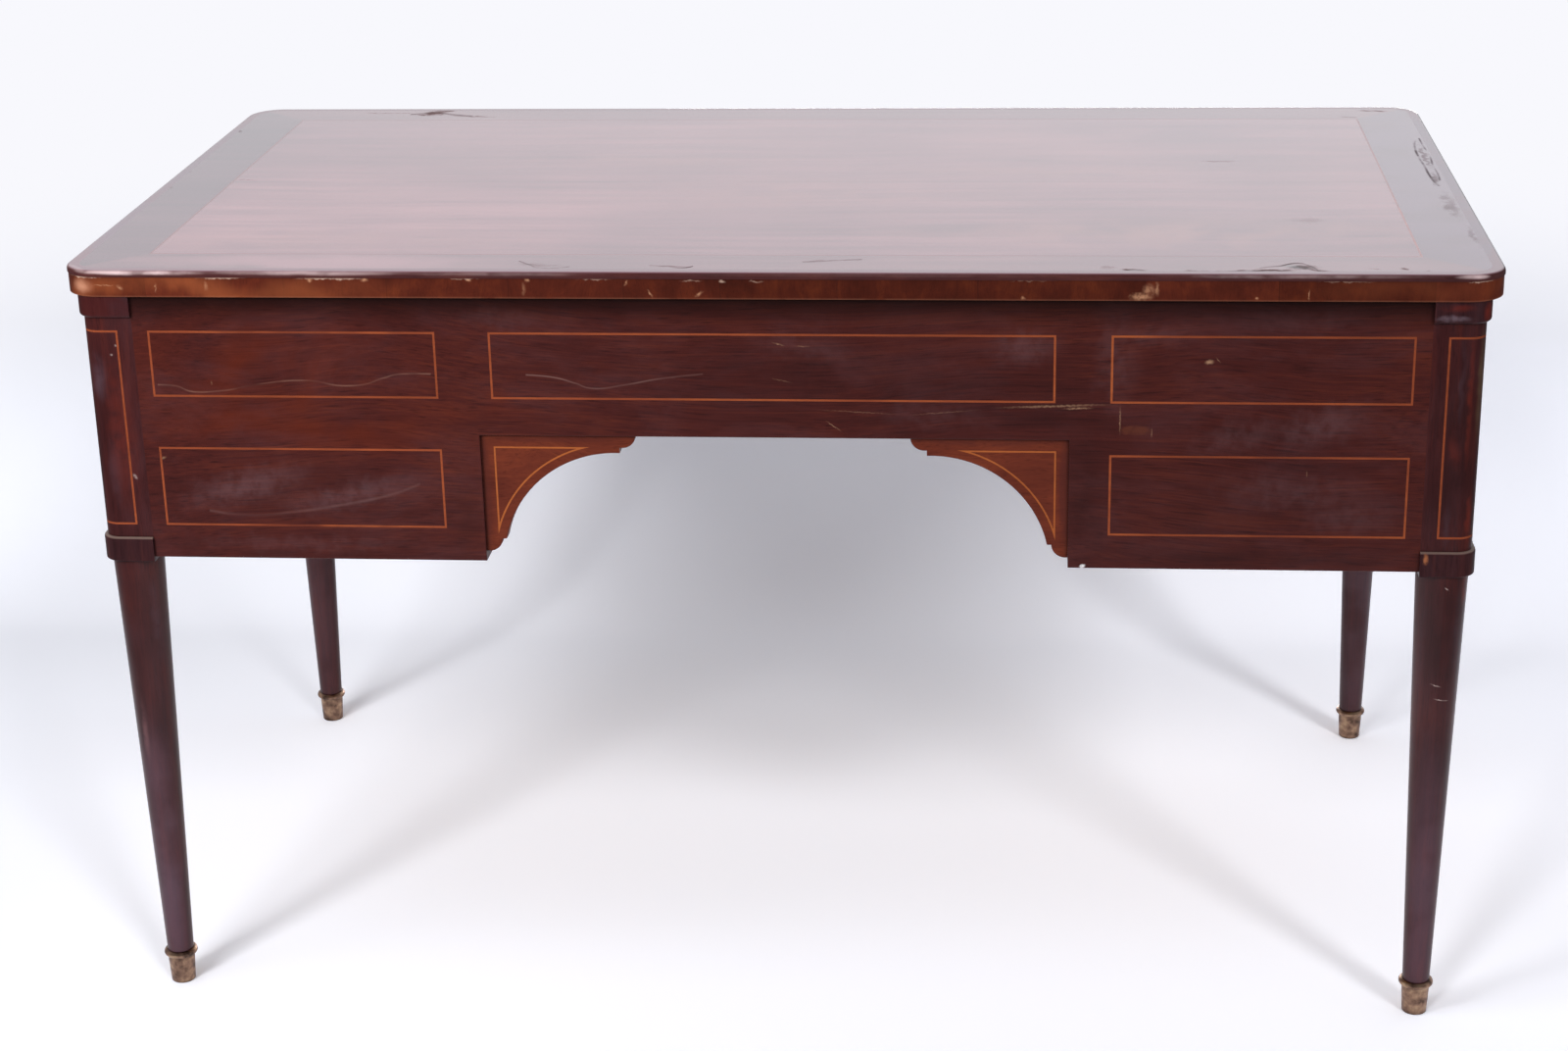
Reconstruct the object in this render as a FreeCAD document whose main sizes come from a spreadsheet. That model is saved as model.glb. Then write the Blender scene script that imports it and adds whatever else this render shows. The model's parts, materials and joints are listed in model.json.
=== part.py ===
import FreeCAD, Part
import Sketcher
import math
import operator
import os
from types import SimpleNamespace

# Pedestal writing desk in mahogany with boxwood stringing, in millimetres.
# The origin is on the floor under the middle of the top. X runs along the desk, Z is up.
# The inlaid visitor's side is the back (-Y) and the five drawers open at the front (+Y).
# Left is -X and right is +X, as seen from the back.
doc = FreeCAD.newDocument("writing_desk")
sheet = doc.addObject("Spreadsheet::Sheet", "Sizes")

driving_sizes = {
    # The whole desk
    "desk_height": 760,
    "top_width": 1328,
    "top_depth": 715,
    "end_overhang": 15.5,
    "face_overhang": 6.5,
    # Top: a core board with an edge lip, an edge band and veneers
    "top_thickness": 25,
    "top_corner_radius": 36,
    "lip_height": 6,
    "lip_width": 12,
    "lip_roundness": 3.5,
    "band_thickness": 1.5,
    "band_set_back": 0.8,
    "veneer_thickness": 0.8,
    "end_border": 70,
    "face_border": 62.5,
    "top_line_width": 2,
    # Corner posts with turned legs, collars and cap blocks
    "post_size": 49,
    "post_corner_radius": 16,
    "leg_top_diameter": 49,
    "leg_foot_diameter": 26,
    "spigot_diameter": 20,
    "collar_height": 24.5,
    "collar_drop": 4,
    "collar_proud": 3.5,
    "collar_roundness": 2.8,
    "cap_block_height": 21.5,
    "cap_block_proud": 4,
    "cap_block_roundness": 3.2,
    # Brass leg caps
    "brass_height": 36.5,
    "brass_foot_diameter": 24,
    "brass_neck_diameter": 26.5,
    "brass_neck_height": 24,
    "brass_bead_radius": 3.5,
    "brass_floor": 3,
    "brass_seat_height": 30,
    "brass_clearance": 0.25,
    "brass_foot_chamfer": 0.8,
    # Carcass
    "panel_thickness": 22,
    "panel_arris": 1,
    "inner_side_thickness": 18,
    "knee_width": 551,
    "top_rail_height": 18,
    "upper_opening_height": 101,
    "divider_height": 16,
    "lower_opening_height": 110,
    "floor_thickness": 16,
    "tongue_thickness": 8,
    "tongue_length": 10,
    "tenon_shoulder": 3,
    "tongue_clearance": 0.2,
    # Runners, guides, stops, battens and top screws
    "runner_width": 26,
    "runner_height": 16,
    "guide_height": 25,
    "stop_length": 40,
    "stop_width": 18,
    "stop_height": 5,
    "stop_inset": 40,
    "batten_width": 20,
    "screw_diameter": 4,
    "screw_length": 30,
    "screw_head_diameter": 8,
    "screw_head_height": 3,
    "screw_clearance": 0.1,
    "screw_spacing": 400,
    # Stringing on the carcass
    "line_width": 2,
    "line_depth": 1.2,
    "line_from_seam": 14.3,
    "line_from_knee": 36.8,
    "centre_line_from_knee": 13.3,
    "upper_line_drop": 34.2,
    "upper_line_rise": 36,
    "lower_line_drop": 14,
    "lower_line_rise": 33,
    "drawer_line_inset": 14,
    # Shaped brackets in the kneehole
    "bracket_width": 147,
    "bracket_height": 117.5,
    "bracket_thickness": 15,
    "bracket_set_back": 4,
    "bracket_round": 13,
    "bracket_step": 2.5,
    "bracket_arris": 1.5,
    "cove_radius": 110.5,
    "cove_centre_in": 127.5,
    "cove_centre_down": 128.5,
    "bracket_line_inset": 12,
    "bracket_line_from_cove": 8.5,
    "bracket_line_width": 1.6,
    # Drawers
    "drawer_gap": 1,
    "drawer_length": 600,
    "drawer_front_thickness": 22,
    "drawer_side_thickness": 11,
    "drawer_side_drop": 8,
    "drawer_back_thickness": 10,
    "drawer_back_drop": 6,
    "drawer_back_inset": 6,
    "drawer_bottom_thickness": 6,
    "drawer_bottom_rise": 10,
    "groove_depth": 5,
    "housing_depth": 4,
    "tail_length": 14,
    "tail_flare": 2.5,
    # Turned brass knobs
    "knob_spacing": 290,
    "knob_flange_diameter": 18,
    "knob_flange_thickness": 2,
    "knob_neck_diameter": 9,
    "knob_neck_length": 7,
    "knob_head_diameter": 22,
    "knob_head_rim": 2.5,
    "knob_projection": 19,
    "knob_spigot_diameter": 5,
    "knob_nut_diameter": 11,
    "knob_nut_thickness": 4,
    "knob_clearance": 0.1,
}

operations = {
    "+": operator.add,
    "-": operator.sub,
    "*": operator.mul,
    "/": operator.truediv,
}


class Size:
    # A length that carries its value and the sheet formula that gives it

    def __init__(self, value, formula):
        self.value = value
        self.formula = formula

    def __add__(self, other):
        return combine(self, "+", other)

    def __radd__(self, other):
        return combine(other, "+", self)

    def __sub__(self, other):
        return combine(self, "-", other)

    def __rsub__(self, other):
        return combine(other, "-", self)

    def __mul__(self, other):
        return combine(self, "*", other)

    def __rmul__(self, other):
        return combine(other, "*", self)

    def __truediv__(self, other):
        return combine(self, "/", other)

    def __neg__(self):
        return combine(0, "-", self)


def as_size(number):
    if isinstance(number, Size):
        return number
    return Size(number, f"({number})")


def combine(left, sign, right):
    left = as_size(left)
    right = as_size(right)
    value = operations[sign](left.value, right.value)
    return Size(value, f"({left.formula} {sign} {right.formula})")


def square_root(number):
    return Size(math.sqrt(number.value), f"sqrt({number.formula})")


size = SimpleNamespace()
for row, (alias, value) in enumerate(driving_sizes.items(), start=1):
    sheet.set(f"A{row}", alias)
    sheet.set(f"B{row}", str(value))
    sheet.setAlias(f"B{row}", alias)
    setattr(size, alias, Size(value, f"Sizes.{alias}"))
doc.recompute()


def bind(item, path, number):
    item.setExpression(path, as_size(number).formula)


def place(item, x, y, z):
    for axis, number in zip("xyz", (x, y, z)):
        bind(item, f"Placement.Base.{axis}", number)


def span(side, low, high):
    # A stretch given for the right or front half, mirrored for the other
    if side > 0:
        return (low, high)
    return (-high, -low)


def about(middle, length):
    return (middle - length / 2, middle + length / 2)


# Solids and joins

def box(name, x, y, z):
    item = doc.addObject("Part::Box", name)
    for prop, (low, high) in zip(("Length", "Width", "Height"), (x, y, z)):
        bind(item, prop, high - low)
    place(item, x[0], y[0], z[0])
    return item


def cylinder(name, diameter, x, y, z):
    # A round bar along the one direction that is given as a stretch
    item = doc.addObject("Part::Cylinder", name)
    turns = {
        0: FreeCAD.Rotation(FreeCAD.Vector(0, 1, 0), 90),
        1: FreeCAD.Rotation(FreeCAD.Vector(1, 0, 0), -90),
        2: FreeCAD.Rotation(),
    }
    along = [isinstance(number, tuple) for number in (x, y, z)].index(True)
    low, high = (x, y, z)[along]
    start = [x, y, z]
    start[along] = low
    item.Placement = FreeCAD.Placement(FreeCAD.Vector(), turns[along])
    place(item, *start)
    bind(item, "Radius", diameter / 2)
    bind(item, "Height", high - low)
    return item


def cut(name, base, *tools):
    for number, tool in enumerate(tools, start=1):
        last = number == len(tools)
        item = doc.addObject("Part::Cut", name if last else f"{name}_step")
        item.Base = base
        item.Tool = tool
        base = item
    return base


def fuse(name, *pieces):
    item = doc.addObject("Part::MultiFuse", name)
    item.Shapes = pieces
    item.Refine = True
    return item


def common(name, base, tool):
    item = doc.addObject("Part::Common", name)
    item.Base = base
    item.Tool = tool
    return item


def group(name, pieces):
    item = doc.addObject("Part::Compound", name)
    item.Links = pieces
    return item


def frame(name, x, y, z, width, flat):
    # A rectangular frame of lines of one width, lying flat along one direction
    inner = [(low + width, high - width) for low, high in (x, y, z)]
    inner[flat] = (x, y, z)[flat]
    return cut(name, box(f"{name}_outside", x, y, z), box(f"{name}_inside", *inner))


# Bodies with sketches

def add_sketch(body, plane, *loops):
    # Each loop lists its corners in turn, as (x, y), or as (x, y, centre x, centre y) where
    # an arc of under half a turn leads to that corner
    item = body.newObject("Sketcher::SketchObject", f"{body.Name}_sketch")
    planes = {part.Role: part for part in body.Origin.OriginFeatures}
    item.AttachmentSupport = [(planes[plane], "")]
    item.MapMode = "FlatFace"
    for loop in loops:
        add_loop(item, [[as_size(number) for number in corner] for corner in loop])
    return item


def add_loop(item, loop):
    first = item.GeometryCount
    count = len(loop)
    starts = []
    ends = []
    for number, corner in enumerate(loop):
        following = loop[(number + 1) % count]
        start = FreeCAD.Vector(corner[0].value, corner[1].value)
        end = FreeCAD.Vector(following[0].value, following[1].value)
        if len(following) == 2:
            item.addGeometry(Part.LineSegment(start, end))
            forward = True
        else:
            forward = add_arc(item, start, end, following)
        starts.append(1 if forward else 2)
        ends.append(2 if forward else 1)
    for number, corner in enumerate(loop):
        edge = first + number
        before = first + (number - 1) % count
        joint = Sketcher.Constraint("Coincident", before, ends[number - 1], edge, starts[number])
        item.addConstraint(joint)
        for kind, length in zip(("DistanceX", "DistanceY"), corner):
            fix(item, Sketcher.Constraint(kind, -1, 1, edge, starts[number], length.value), length)
        if len(corner) == 4:
            radius = arc_radius(corner)
            fix(item, Sketcher.Constraint("Radius", before, radius.value), radius)


def arc_radius(corner):
    across = corner[0] - corner[2]
    along = corner[1] - corner[3]
    return square_root(across * across + along * along)


def add_arc(item, start, end, corner):
    middle = FreeCAD.Vector(corner[2].value, corner[3].value)
    circle = Part.Circle(middle, FreeCAD.Vector(0, 0, 1), arc_radius(corner).value)
    angles = [math.atan2(point.y - middle.y, point.x - middle.x) for point in (start, end)]
    forward = (angles[1] - angles[0]) % math.tau < math.pi
    if not forward:
        angles.reverse()
    if angles[1] < angles[0]:
        angles[1] += math.tau
    item.addGeometry(Part.ArcOfCircle(circle, *angles))
    return forward


def fix(item, constraint, length):
    number = item.addConstraint(constraint)
    name = f"length_{number}"
    item.renameConstraint(number, name)
    bind(item, f"Constraints.{name}", length)


def pad(body, sketch, length):
    item = body.newObject("PartDesign::Pad", f"{body.Name}_pad")
    item.Profile = sketch
    bind(item, "Length", length)
    return item


def revolve(body, sketch):
    item = body.newObject("PartDesign::Revolution", f"{body.Name}_turning")
    item.Profile = sketch
    item.ReferenceAxis = (sketch, ["V_Axis"])
    item.Angle = 360
    return item


def round_edges(body, base, radius, chosen):
    doc.recompute()
    edges = [f"Edge{number}" for number, edge in enumerate(base.Shape.Edges, start=1) if chosen(edge)]
    item = body.newObject("PartDesign::Fillet", f"{body.Name}_rounding")
    item.Base = (base, edges)
    bind(item, "Radius", radius)
    return item


def add_body(name):
    return doc.addObject("PartDesign::Body", name)


def rounded_rectangle(half_x, half_y, radius):
    in_x = half_x - radius
    in_y = half_y - radius
    return [
        (half_x, -in_y, in_x, -in_y),
        (half_x, in_y),
        (in_x, half_y, in_x, in_y),
        (-in_x, half_y),
        (-half_x, in_y, -in_x, in_y),
        (-half_x, -in_y),
        (-in_x, -half_y, -in_x, -in_y),
        (in_x, -half_y),
    ]


def level(edge, height):
    return all(abs(vertex.Z - height) < 1e-6 for vertex in edge.Vertexes)


# Main planes and levels, worked out from the driving dimensions

top_x = size.top_width / 2
top_y = size.top_depth / 2
end_face = top_x - size.end_overhang
flat_face = top_y - size.face_overhang
seam_x = end_face - size.post_size
seam_y = flat_face - size.post_size
end_inside = end_face - size.panel_thickness
back_inside = flat_face - size.panel_thickness
knee_x = size.knee_width / 2
inner_side_x = knee_x + size.inner_side_thickness
under_top = size.desk_height - size.top_thickness
under_rail = under_top - size.top_rail_height
divider_top = under_rail - size.upper_opening_height
knee_top = divider_top - size.divider_height
floor_top = knee_top - size.lower_opening_height
carcass_bottom = floor_top - size.floor_thickness
post_bottom = carcass_bottom - size.collar_drop

sides = {"left": -1, "right": 1}
corners = {
    "back_left": (-1, -1, 180),
    "back_right": (1, -1, 270),
    "front_left": (-1, 1, 90),
    "front_right": (1, 1, 0),
}
nodes = {}


def keep(item):
    nodes[item.Label] = item
    return item


def at_corner(body, corner):
    # Local +X and +Y point out of the desk at each corner
    side, face, turn = corners[corner]
    body.Placement = FreeCAD.Placement(FreeCAD.Vector(), FreeCAD.Rotation(FreeCAD.Vector(0, 0, 1), turn))
    place(body, side * (end_face - size.post_size / 2), face * (flat_face - size.post_size / 2), 0)


# Top

lip_bottom = size.desk_height - size.lip_height
veneer_bottom = size.desk_height - size.veneer_thickness
line_x = top_x - size.end_border
line_y = top_y - size.face_border


def top_outline(inset):
    return rounded_rectangle(top_x - inset, top_y - inset, size.top_corner_radius - inset)


def top_layer(body, bottom, height, *insets):
    sketch = add_sketch(body, "XY_Plane", *[top_outline(inset) for inset in insets])
    bind(sketch, "AttachmentOffset.Base.z", bottom)
    return pad(body, sketch, height)


def make_edge():
    band_inset = size.band_set_back + size.band_thickness
    band = keep(add_body("top_edge_band"))
    top_layer(band, under_top, lip_bottom - under_top, size.band_set_back, band_inset)
    lip = keep(add_body("top_edge_lip"))
    ring = top_layer(lip, lip_bottom, size.lip_height, 0, size.lip_width)
    reach = top_x.value - size.lip_width.value / 2
    depth = top_y.value - size.lip_width.value / 2

    def outer_top(edge):
        middle = edge.valueAt((edge.FirstParameter + edge.LastParameter) / 2)
        inner_radius = size.top_corner_radius.value - size.lip_width.value
        on_arc = edge.Curve.TypeId == "Part::GeomCircle" and edge.Curve.Radius > inner_radius + 1e-6
        on_side = edge.Curve.TypeId == "Part::GeomLine" and (abs(middle.x) > reach or abs(middle.y) > depth)
        return level(edge, size.desk_height.value) and (on_arc or on_side)

    round_edges(lip, ring, size.lip_roundness, outer_top)


def make_core(screw_holes):
    board = add_body("top_core_board")
    inset = size.band_set_back + size.band_thickness
    top_layer(board, under_top, lip_bottom - under_top, inset)
    top_layer(board, lip_bottom, veneer_bottom - lip_bottom, size.lip_width)
    keep(cut("top_core", board, screw_holes))


def make_crossbanding():
    z = (veneer_bottom, size.desk_height)
    border = add_body("border_veneer")
    top_layer(border, veneer_bottom, size.veneer_thickness, size.lip_width)
    field_hole = box("border_field", (-line_x, line_x), (-line_y, line_y), z)
    ring = cut("border_ring", border, field_hole)
    mitres = {
        "back": [(-top_x, -top_y), (top_x, -top_y), (line_x, -line_y), (-line_x, -line_y)],
        "front": [(-line_x, line_y), (line_x, line_y), (top_x, top_y), (-top_x, top_y)],
        "left": [(-top_x, -top_y), (-line_x, -line_y), (-line_x, line_y), (-top_x, top_y)],
        "right": [(line_x, -line_y), (top_x, -top_y), (top_x, top_y), (line_x, line_y)],
    }
    strips = []
    for name, corner_points in mitres.items():
        wedge = add_body(f"mitre_{name}")
        sketch = add_sketch(wedge, "XY_Plane", corner_points)
        bind(sketch, "AttachmentOffset.Base.z", veneer_bottom)
        pad(wedge, sketch, size.veneer_thickness)
        strips.append(common(f"crossbanding_{name}", ring, wedge))
    keep(group("top_crossbanding", strips))
    lines = frame("top_stringing", (-line_x, line_x), (-line_y, line_y), z, size.top_line_width, 2)
    keep(lines)
    field_x = line_x - size.top_line_width
    field_y = line_y - size.top_line_width
    keep(box("top_field_veneer", (-field_x, field_x), (-field_y, field_y), z))


# Battens under the top and the screws that hold it

def make_battens():
    z = (under_rail, under_top)
    strips = {}
    for name, side in sides.items():
        end_x = span(side, end_inside - size.batten_width, end_inside)
        strips[f"end_{name}"] = (end_x, (-seam_y, seam_y))
        inner_x = span(side, inner_side_x, inner_side_x + size.batten_width)
        strips[f"inner_{name}"] = (inner_x, (-back_inside, seam_y))
    strips["back"] = ((-knee_x, knee_x), (-back_inside, -back_inside + size.batten_width))
    spread = size.screw_spacing / 2
    screws = []
    holes = []
    battens = []
    for name, (x, y) in strips.items():
        middle_x = (x[0] + x[1]) / 2
        middle_y = (y[0] + y[1]) / 2
        places = [(middle_x, middle_y - spread), (middle_x, middle_y + spread)]
        if name == "back":
            places = [(middle_x - spread, middle_y), (middle_x + spread, middle_y)]
        strip_holes = []
        for number, (screw_x, screw_y) in enumerate(places, start=1):
            screw_name = f"screw_{name}_{number}"
            screws.append(make_screw(screw_name, screw_x, screw_y, 0))
            strip_holes.append(make_screw(f"{screw_name}_hole", screw_x, screw_y, size.screw_clearance))
        battens.append(cut(f"batten_{name}", box(f"batten_{name}_blank", x, y, z), *strip_holes))
        holes.extend(strip_holes)
    keep(group("top_battens", battens))
    keep(group("top_screws", screws))
    return group("screw_holes", holes)


def make_screw(name, x, y, clearance):
    head_top = under_rail + size.screw_head_height
    shank_top = under_rail + size.screw_length + clearance
    room = 2 * as_size(clearance)
    head = cylinder(f"{name}_head", size.screw_head_diameter + room, x, y, (under_rail, head_top))
    shank = cylinder(f"{name}_shank", size.screw_diameter + room, x, y, (under_rail, shank_top))
    return fuse(name, head, shank)


# Posts that run down into turned legs

half_post = size.post_size / 2


def post_section(inset):
    # Square with the outer corner rounded; the inset moves the two outer faces in
    face = half_post - inset
    flat = half_post - size.post_corner_radius
    return [
        (-half_post, -half_post),
        (face, -half_post),
        (face, flat),
        (flat, face, flat, flat),
        (-half_post, face),
    ]


def make_leg_blank(corner):
    body = add_body(f"leg_{corner}_blank")
    section = add_sketch(body, "XY_Plane", post_section(0))
    bind(section, "AttachmentOffset.Base.z", post_bottom)
    pad(body, section, under_top - post_bottom)
    turned = [
        (0, size.brass_floor),
        (size.spigot_diameter / 2, size.brass_floor),
        (size.spigot_diameter / 2, size.brass_seat_height),
        (size.leg_foot_diameter / 2, size.brass_seat_height),
        (size.leg_top_diameter / 2, post_bottom),
        (0, post_bottom),
    ]
    revolve(body, add_sketch(body, "XZ_Plane", turned))
    at_corner(body, corner)
    return body


def make_post_lines(corner):
    # One line frame that wraps round the post's rounded corner
    side, face, _ = corners[corner]
    outer = add_body(f"post_skin_{corner}")
    low = carcass_bottom + size.lower_line_rise
    high = under_top - size.upper_line_drop
    skin = add_sketch(outer, "XY_Plane", post_section(0))
    bind(skin, "AttachmentOffset.Base.z", low)
    pad(outer, skin, high - low)
    at_corner(outer, corner)
    inner = add_body(f"post_heart_{corner}")
    heart = add_sketch(inner, "XY_Plane", post_section(size.line_depth))
    bind(heart, "AttachmentOffset.Base.z", low)
    pad(inner, heart, high - low)
    at_corner(inner, corner)
    shell = cut(f"post_shell_{corner}", outer, inner)
    x = span(side, seam_x + size.line_from_seam, end_face)
    y = span(face, seam_y + size.line_from_seam, flat_face)
    column = box(f"post_lines_{corner}_column", x, y, (low, high))
    middle_x = span(side, seam_x + size.line_from_seam + size.line_width, end_face)
    middle_y = span(face, seam_y + size.line_from_seam + size.line_width, flat_face)
    middle_z = (low + size.line_width, high - size.line_width)
    opening = box(f"post_lines_{corner}_opening", middle_x, middle_y, middle_z)
    return common(f"post_lines_{corner}", shell, cut(f"post_lines_{corner}_frame", column, opening))


def tongue_room(low, high):
    return (low - size.tongue_clearance, high + size.tongue_clearance)


def make_leg(corner, lines):
    side, face, _ = corners[corner]
    reach = size.tongue_length + size.tongue_clearance
    end_groove = box(
        f"leg_{corner}_end_groove",
        span(side, *tongue_room(*end_tongue)),
        span(face, seam_y, seam_y + reach),
        (carcass_bottom, under_top),
    )
    slot_x = span(side, seam_x, seam_x + reach)
    slot_y = span(face, *tongue_room(*face_tongue))
    if face < 0:
        slots = [box(f"leg_{corner}_back_groove", slot_x, slot_y, (carcass_bottom, under_top))]
    else:
        slots = []
        for name, (low, high) in tenons.items():
            slots.append(box(f"leg_{corner}_{name}_mortise", slot_x, slot_y, tongue_room(low, high)))
    blank = make_leg_blank(corner)
    keep(cut(f"leg_{corner}", blank, lines, end_groove, *slots))


shoulder = (size.panel_thickness - size.tongue_thickness) / 2
end_tongue = (end_inside + shoulder, end_face - shoulder)
face_tongue = (back_inside + shoulder, flat_face - shoulder)
tenons = {
    "top_rail": (under_rail + size.tenon_shoulder, under_top - size.tenon_shoulder),
    "divider": (knee_top + size.tenon_shoulder, divider_top - size.tenon_shoulder),
}


def make_wrap(name, corner, proud, z, roundings):
    # A moulding round the two outer faces of a post, with chosen edges rounded
    body = add_body(f"{name}_{corner}")
    face = half_post + proud
    flat = half_post - size.post_corner_radius
    section = [
        (-half_post, half_post),
        (flat, half_post),
        (half_post, flat, flat, flat),
        (half_post, -half_post),
        (face, -half_post),
        (face, flat),
        (flat, face, flat, flat),
        (-half_post, face),
    ]
    sketch = add_sketch(body, "XY_Plane", section)
    bind(sketch, "AttachmentOffset.Base.z", z[0])
    feature = pad(body, sketch, z[1] - z[0])

    def outer(edge):
        if edge.Curve.TypeId == "Part::GeomCircle":
            return edge.Curve.Radius > (size.post_corner_radius + proud / 2).value
        middle = edge.valueAt((edge.FirstParameter + edge.LastParameter) / 2)
        runs = edge.Length > 2 * proud.value
        return runs and max(middle.x, middle.y) > (half_post + proud / 2).value

    for height, radius in roundings:
        feature = round_edges(body, feature, radius, lambda edge: level(edge, height.value) and outer(edge))
    at_corner(body, corner)
    return body


def make_corners():
    lines = []
    collars = []
    cap_blocks = []
    collar_z = (post_bottom, post_bottom + size.collar_height)
    block_z = (under_top - size.cap_block_height, under_top)
    for corner in corners:
        wrap = make_post_lines(corner)
        lines.append(wrap)
        make_leg(corner, wrap)
        collar_edges = [(collar_z[1], size.collar_roundness), (collar_z[0], size.collar_roundness / 2)]
        collars.append(make_wrap("collar", corner, size.collar_proud, collar_z, collar_edges))
        block_edges = [(block_z[0], size.cap_block_roundness)]
        cap_blocks.append(make_wrap("cap_block", corner, size.cap_block_proud, block_z, block_edges))
        make_leg_cap(corner)
    keep(group("post_stringing", lines))
    keep(group("post_collars", collars))
    keep(group("post_cap_blocks", cap_blocks))


def make_leg_cap(corner):
    # Turned brass cup with a ring at its mouth
    body = keep(add_body(f"leg_cap_{corner}"))
    foot = size.brass_foot_diameter / 2
    mouth = size.leg_foot_diameter / 2 + size.brass_clearance
    bore = size.spigot_diameter / 2 + size.brass_clearance
    bead = size.brass_bead_radius
    middle = size.brass_height - bead
    profile = [
        (0, 0),
        (foot - size.brass_foot_chamfer, 0),
        (foot, size.brass_foot_chamfer),
        (size.brass_neck_diameter / 2, size.brass_neck_height),
        (mouth, middle - bead),
        (mouth + bead, middle, mouth, middle),
        (mouth, middle + bead, mouth, middle),
        (mouth, size.brass_seat_height),
        (bore, size.brass_seat_height),
        (bore, size.brass_floor),
        (0, size.brass_floor),
    ]
    revolve(body, add_sketch(body, "XZ_Plane", profile))
    at_corner(body, corner)


# Panels

def line_frames(name, across, y, upper, lower):
    frames = []
    for row, z in (("upper", upper), ("lower", lower)):
        frames.append(frame(f"{name}_{row}", across, y, z, size.line_width, 1))
    return frames


upper_line = (knee_top + size.upper_line_rise, under_top - size.upper_line_drop)
lower_line = (carcass_bottom + size.lower_line_rise, knee_top - size.lower_line_drop)


def make_back_panel():
    body = add_body("back_board")
    arch = [
        (-seam_x, carcass_bottom),
        (-knee_x, carcass_bottom),
        (-knee_x, knee_top),
        (knee_x, knee_top),
        (knee_x, carcass_bottom),
        (seam_x, carcass_bottom),
        (seam_x, under_top),
        (-seam_x, under_top),
    ]
    board = pad(body, add_sketch(body, "XZ_Plane", arch), size.panel_thickness)
    place(body, 0, -back_inside, 0)

    def lower_arris(edge):
        on_face = all(abs(vertex.Y + size.panel_thickness.value) < 1e-6 for vertex in edge.Vertexes)
        middle = edge.valueAt((edge.FirstParameter + edge.LastParameter) / 2)
        at_seam = abs(abs(middle.x) - seam_x.value) < 1e-6
        return on_face and not at_seam and middle.z < under_top.value - 1e-6

    round_edges(body, board, size.panel_arris, lower_arris)
    tongue_y = span(-1, *face_tongue)
    tongues = []
    line_y_span = span(-1, flat_face - size.line_depth, flat_face)
    lines = []
    for name, side in sides.items():
        tongue_x = span(side, seam_x, seam_x + size.tongue_length)
        tongues.append(box(f"back_tongue_{name}", tongue_x, tongue_y, (carcass_bottom, under_top)))
        across = span(side, knee_x + size.line_from_knee, seam_x - size.line_from_seam)
        lines.extend(line_frames(f"back_lines_{name}", across, line_y_span, upper_line, lower_line))
    reach = knee_x - size.centre_line_from_knee
    lines.append(frame("back_lines_centre", (-reach, reach), line_y_span, upper_line, size.line_width, 1))
    keep(group("back_stringing", lines))
    keep(cut("back_panel", fuse("back_tongued", body, *tongues), *lines))


def make_end_panels():
    lines = []
    z = (carcass_bottom, under_top)
    reach = seam_y - size.line_from_seam
    for name, side in sides.items():
        board = box(f"end_board_{name}", span(side, end_inside, end_face), (-seam_y, seam_y), z)
        tongue_y = seam_y + size.tongue_length
        tongue = box(f"end_tongue_{name}", span(side, *end_tongue), (-tongue_y, tongue_y), z)
        x = span(side, end_face - size.line_depth, end_face)
        own = []
        for row, row_z in (("upper", upper_line), ("lower", lower_line)):
            own.append(frame(f"end_lines_{name}_{row}", x, (-reach, reach), row_z, size.line_width, 0))
        keep(cut(f"end_panel_{name}", fuse(f"end_tongued_{name}", board, tongue), *own))
        lines.extend(own)
    keep(group("end_stringing", lines))


def make_carcass():
    rail_y = (seam_y, flat_face)
    tenon_y = face_tongue
    tenon_reach = seam_x + size.tongue_length
    rail = box("top_rail_bar", (-seam_x, seam_x), rail_y, (under_rail, under_top))
    rail_tenon = box("top_rail_tenons", (-tenon_reach, tenon_reach), tenon_y, tenons["top_rail"])
    keep(fuse("front_top_rail", rail, rail_tenon))
    keep(box("knee_rail", (-knee_x, knee_x), rail_y, (knee_top, divider_top)))
    dividers = []
    floors = []
    for name, side in sides.items():
        x = span(side, knee_x, inner_side_x)
        full = box(f"inner_side_{name}_board", x, (-back_inside, flat_face), (carcass_bottom, under_rail))
        upper = box(f"inner_side_{name}_upper", x, (-back_inside, seam_y), (under_rail, under_top))
        keep(fuse(f"inner_side_{name}", full, upper))
        opening_x = span(side, inner_side_x, seam_x)
        bar = box(f"divider_{name}_bar", opening_x, rail_y, (knee_top, divider_top))
        tenon_x = span(side, inner_side_x, tenon_reach)
        tenon = box(f"divider_{name}_tenon", tenon_x, tenon_y, tenons["divider"])
        dividers.append(fuse(f"divider_{name}", bar, tenon))
        z = (carcass_bottom, floor_top)
        board = box(f"floor_{name}_board", opening_x, (-back_inside, flat_face), z)
        strip = box(f"floor_{name}_strip", span(side, seam_x, end_inside), (-seam_y, seam_y), z)
        floors.append(fuse(f"floor_{name}", board, strip))
    keep(group("drawer_dividers", dividers))
    keep(group("pedestal_floors", floors))


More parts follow.
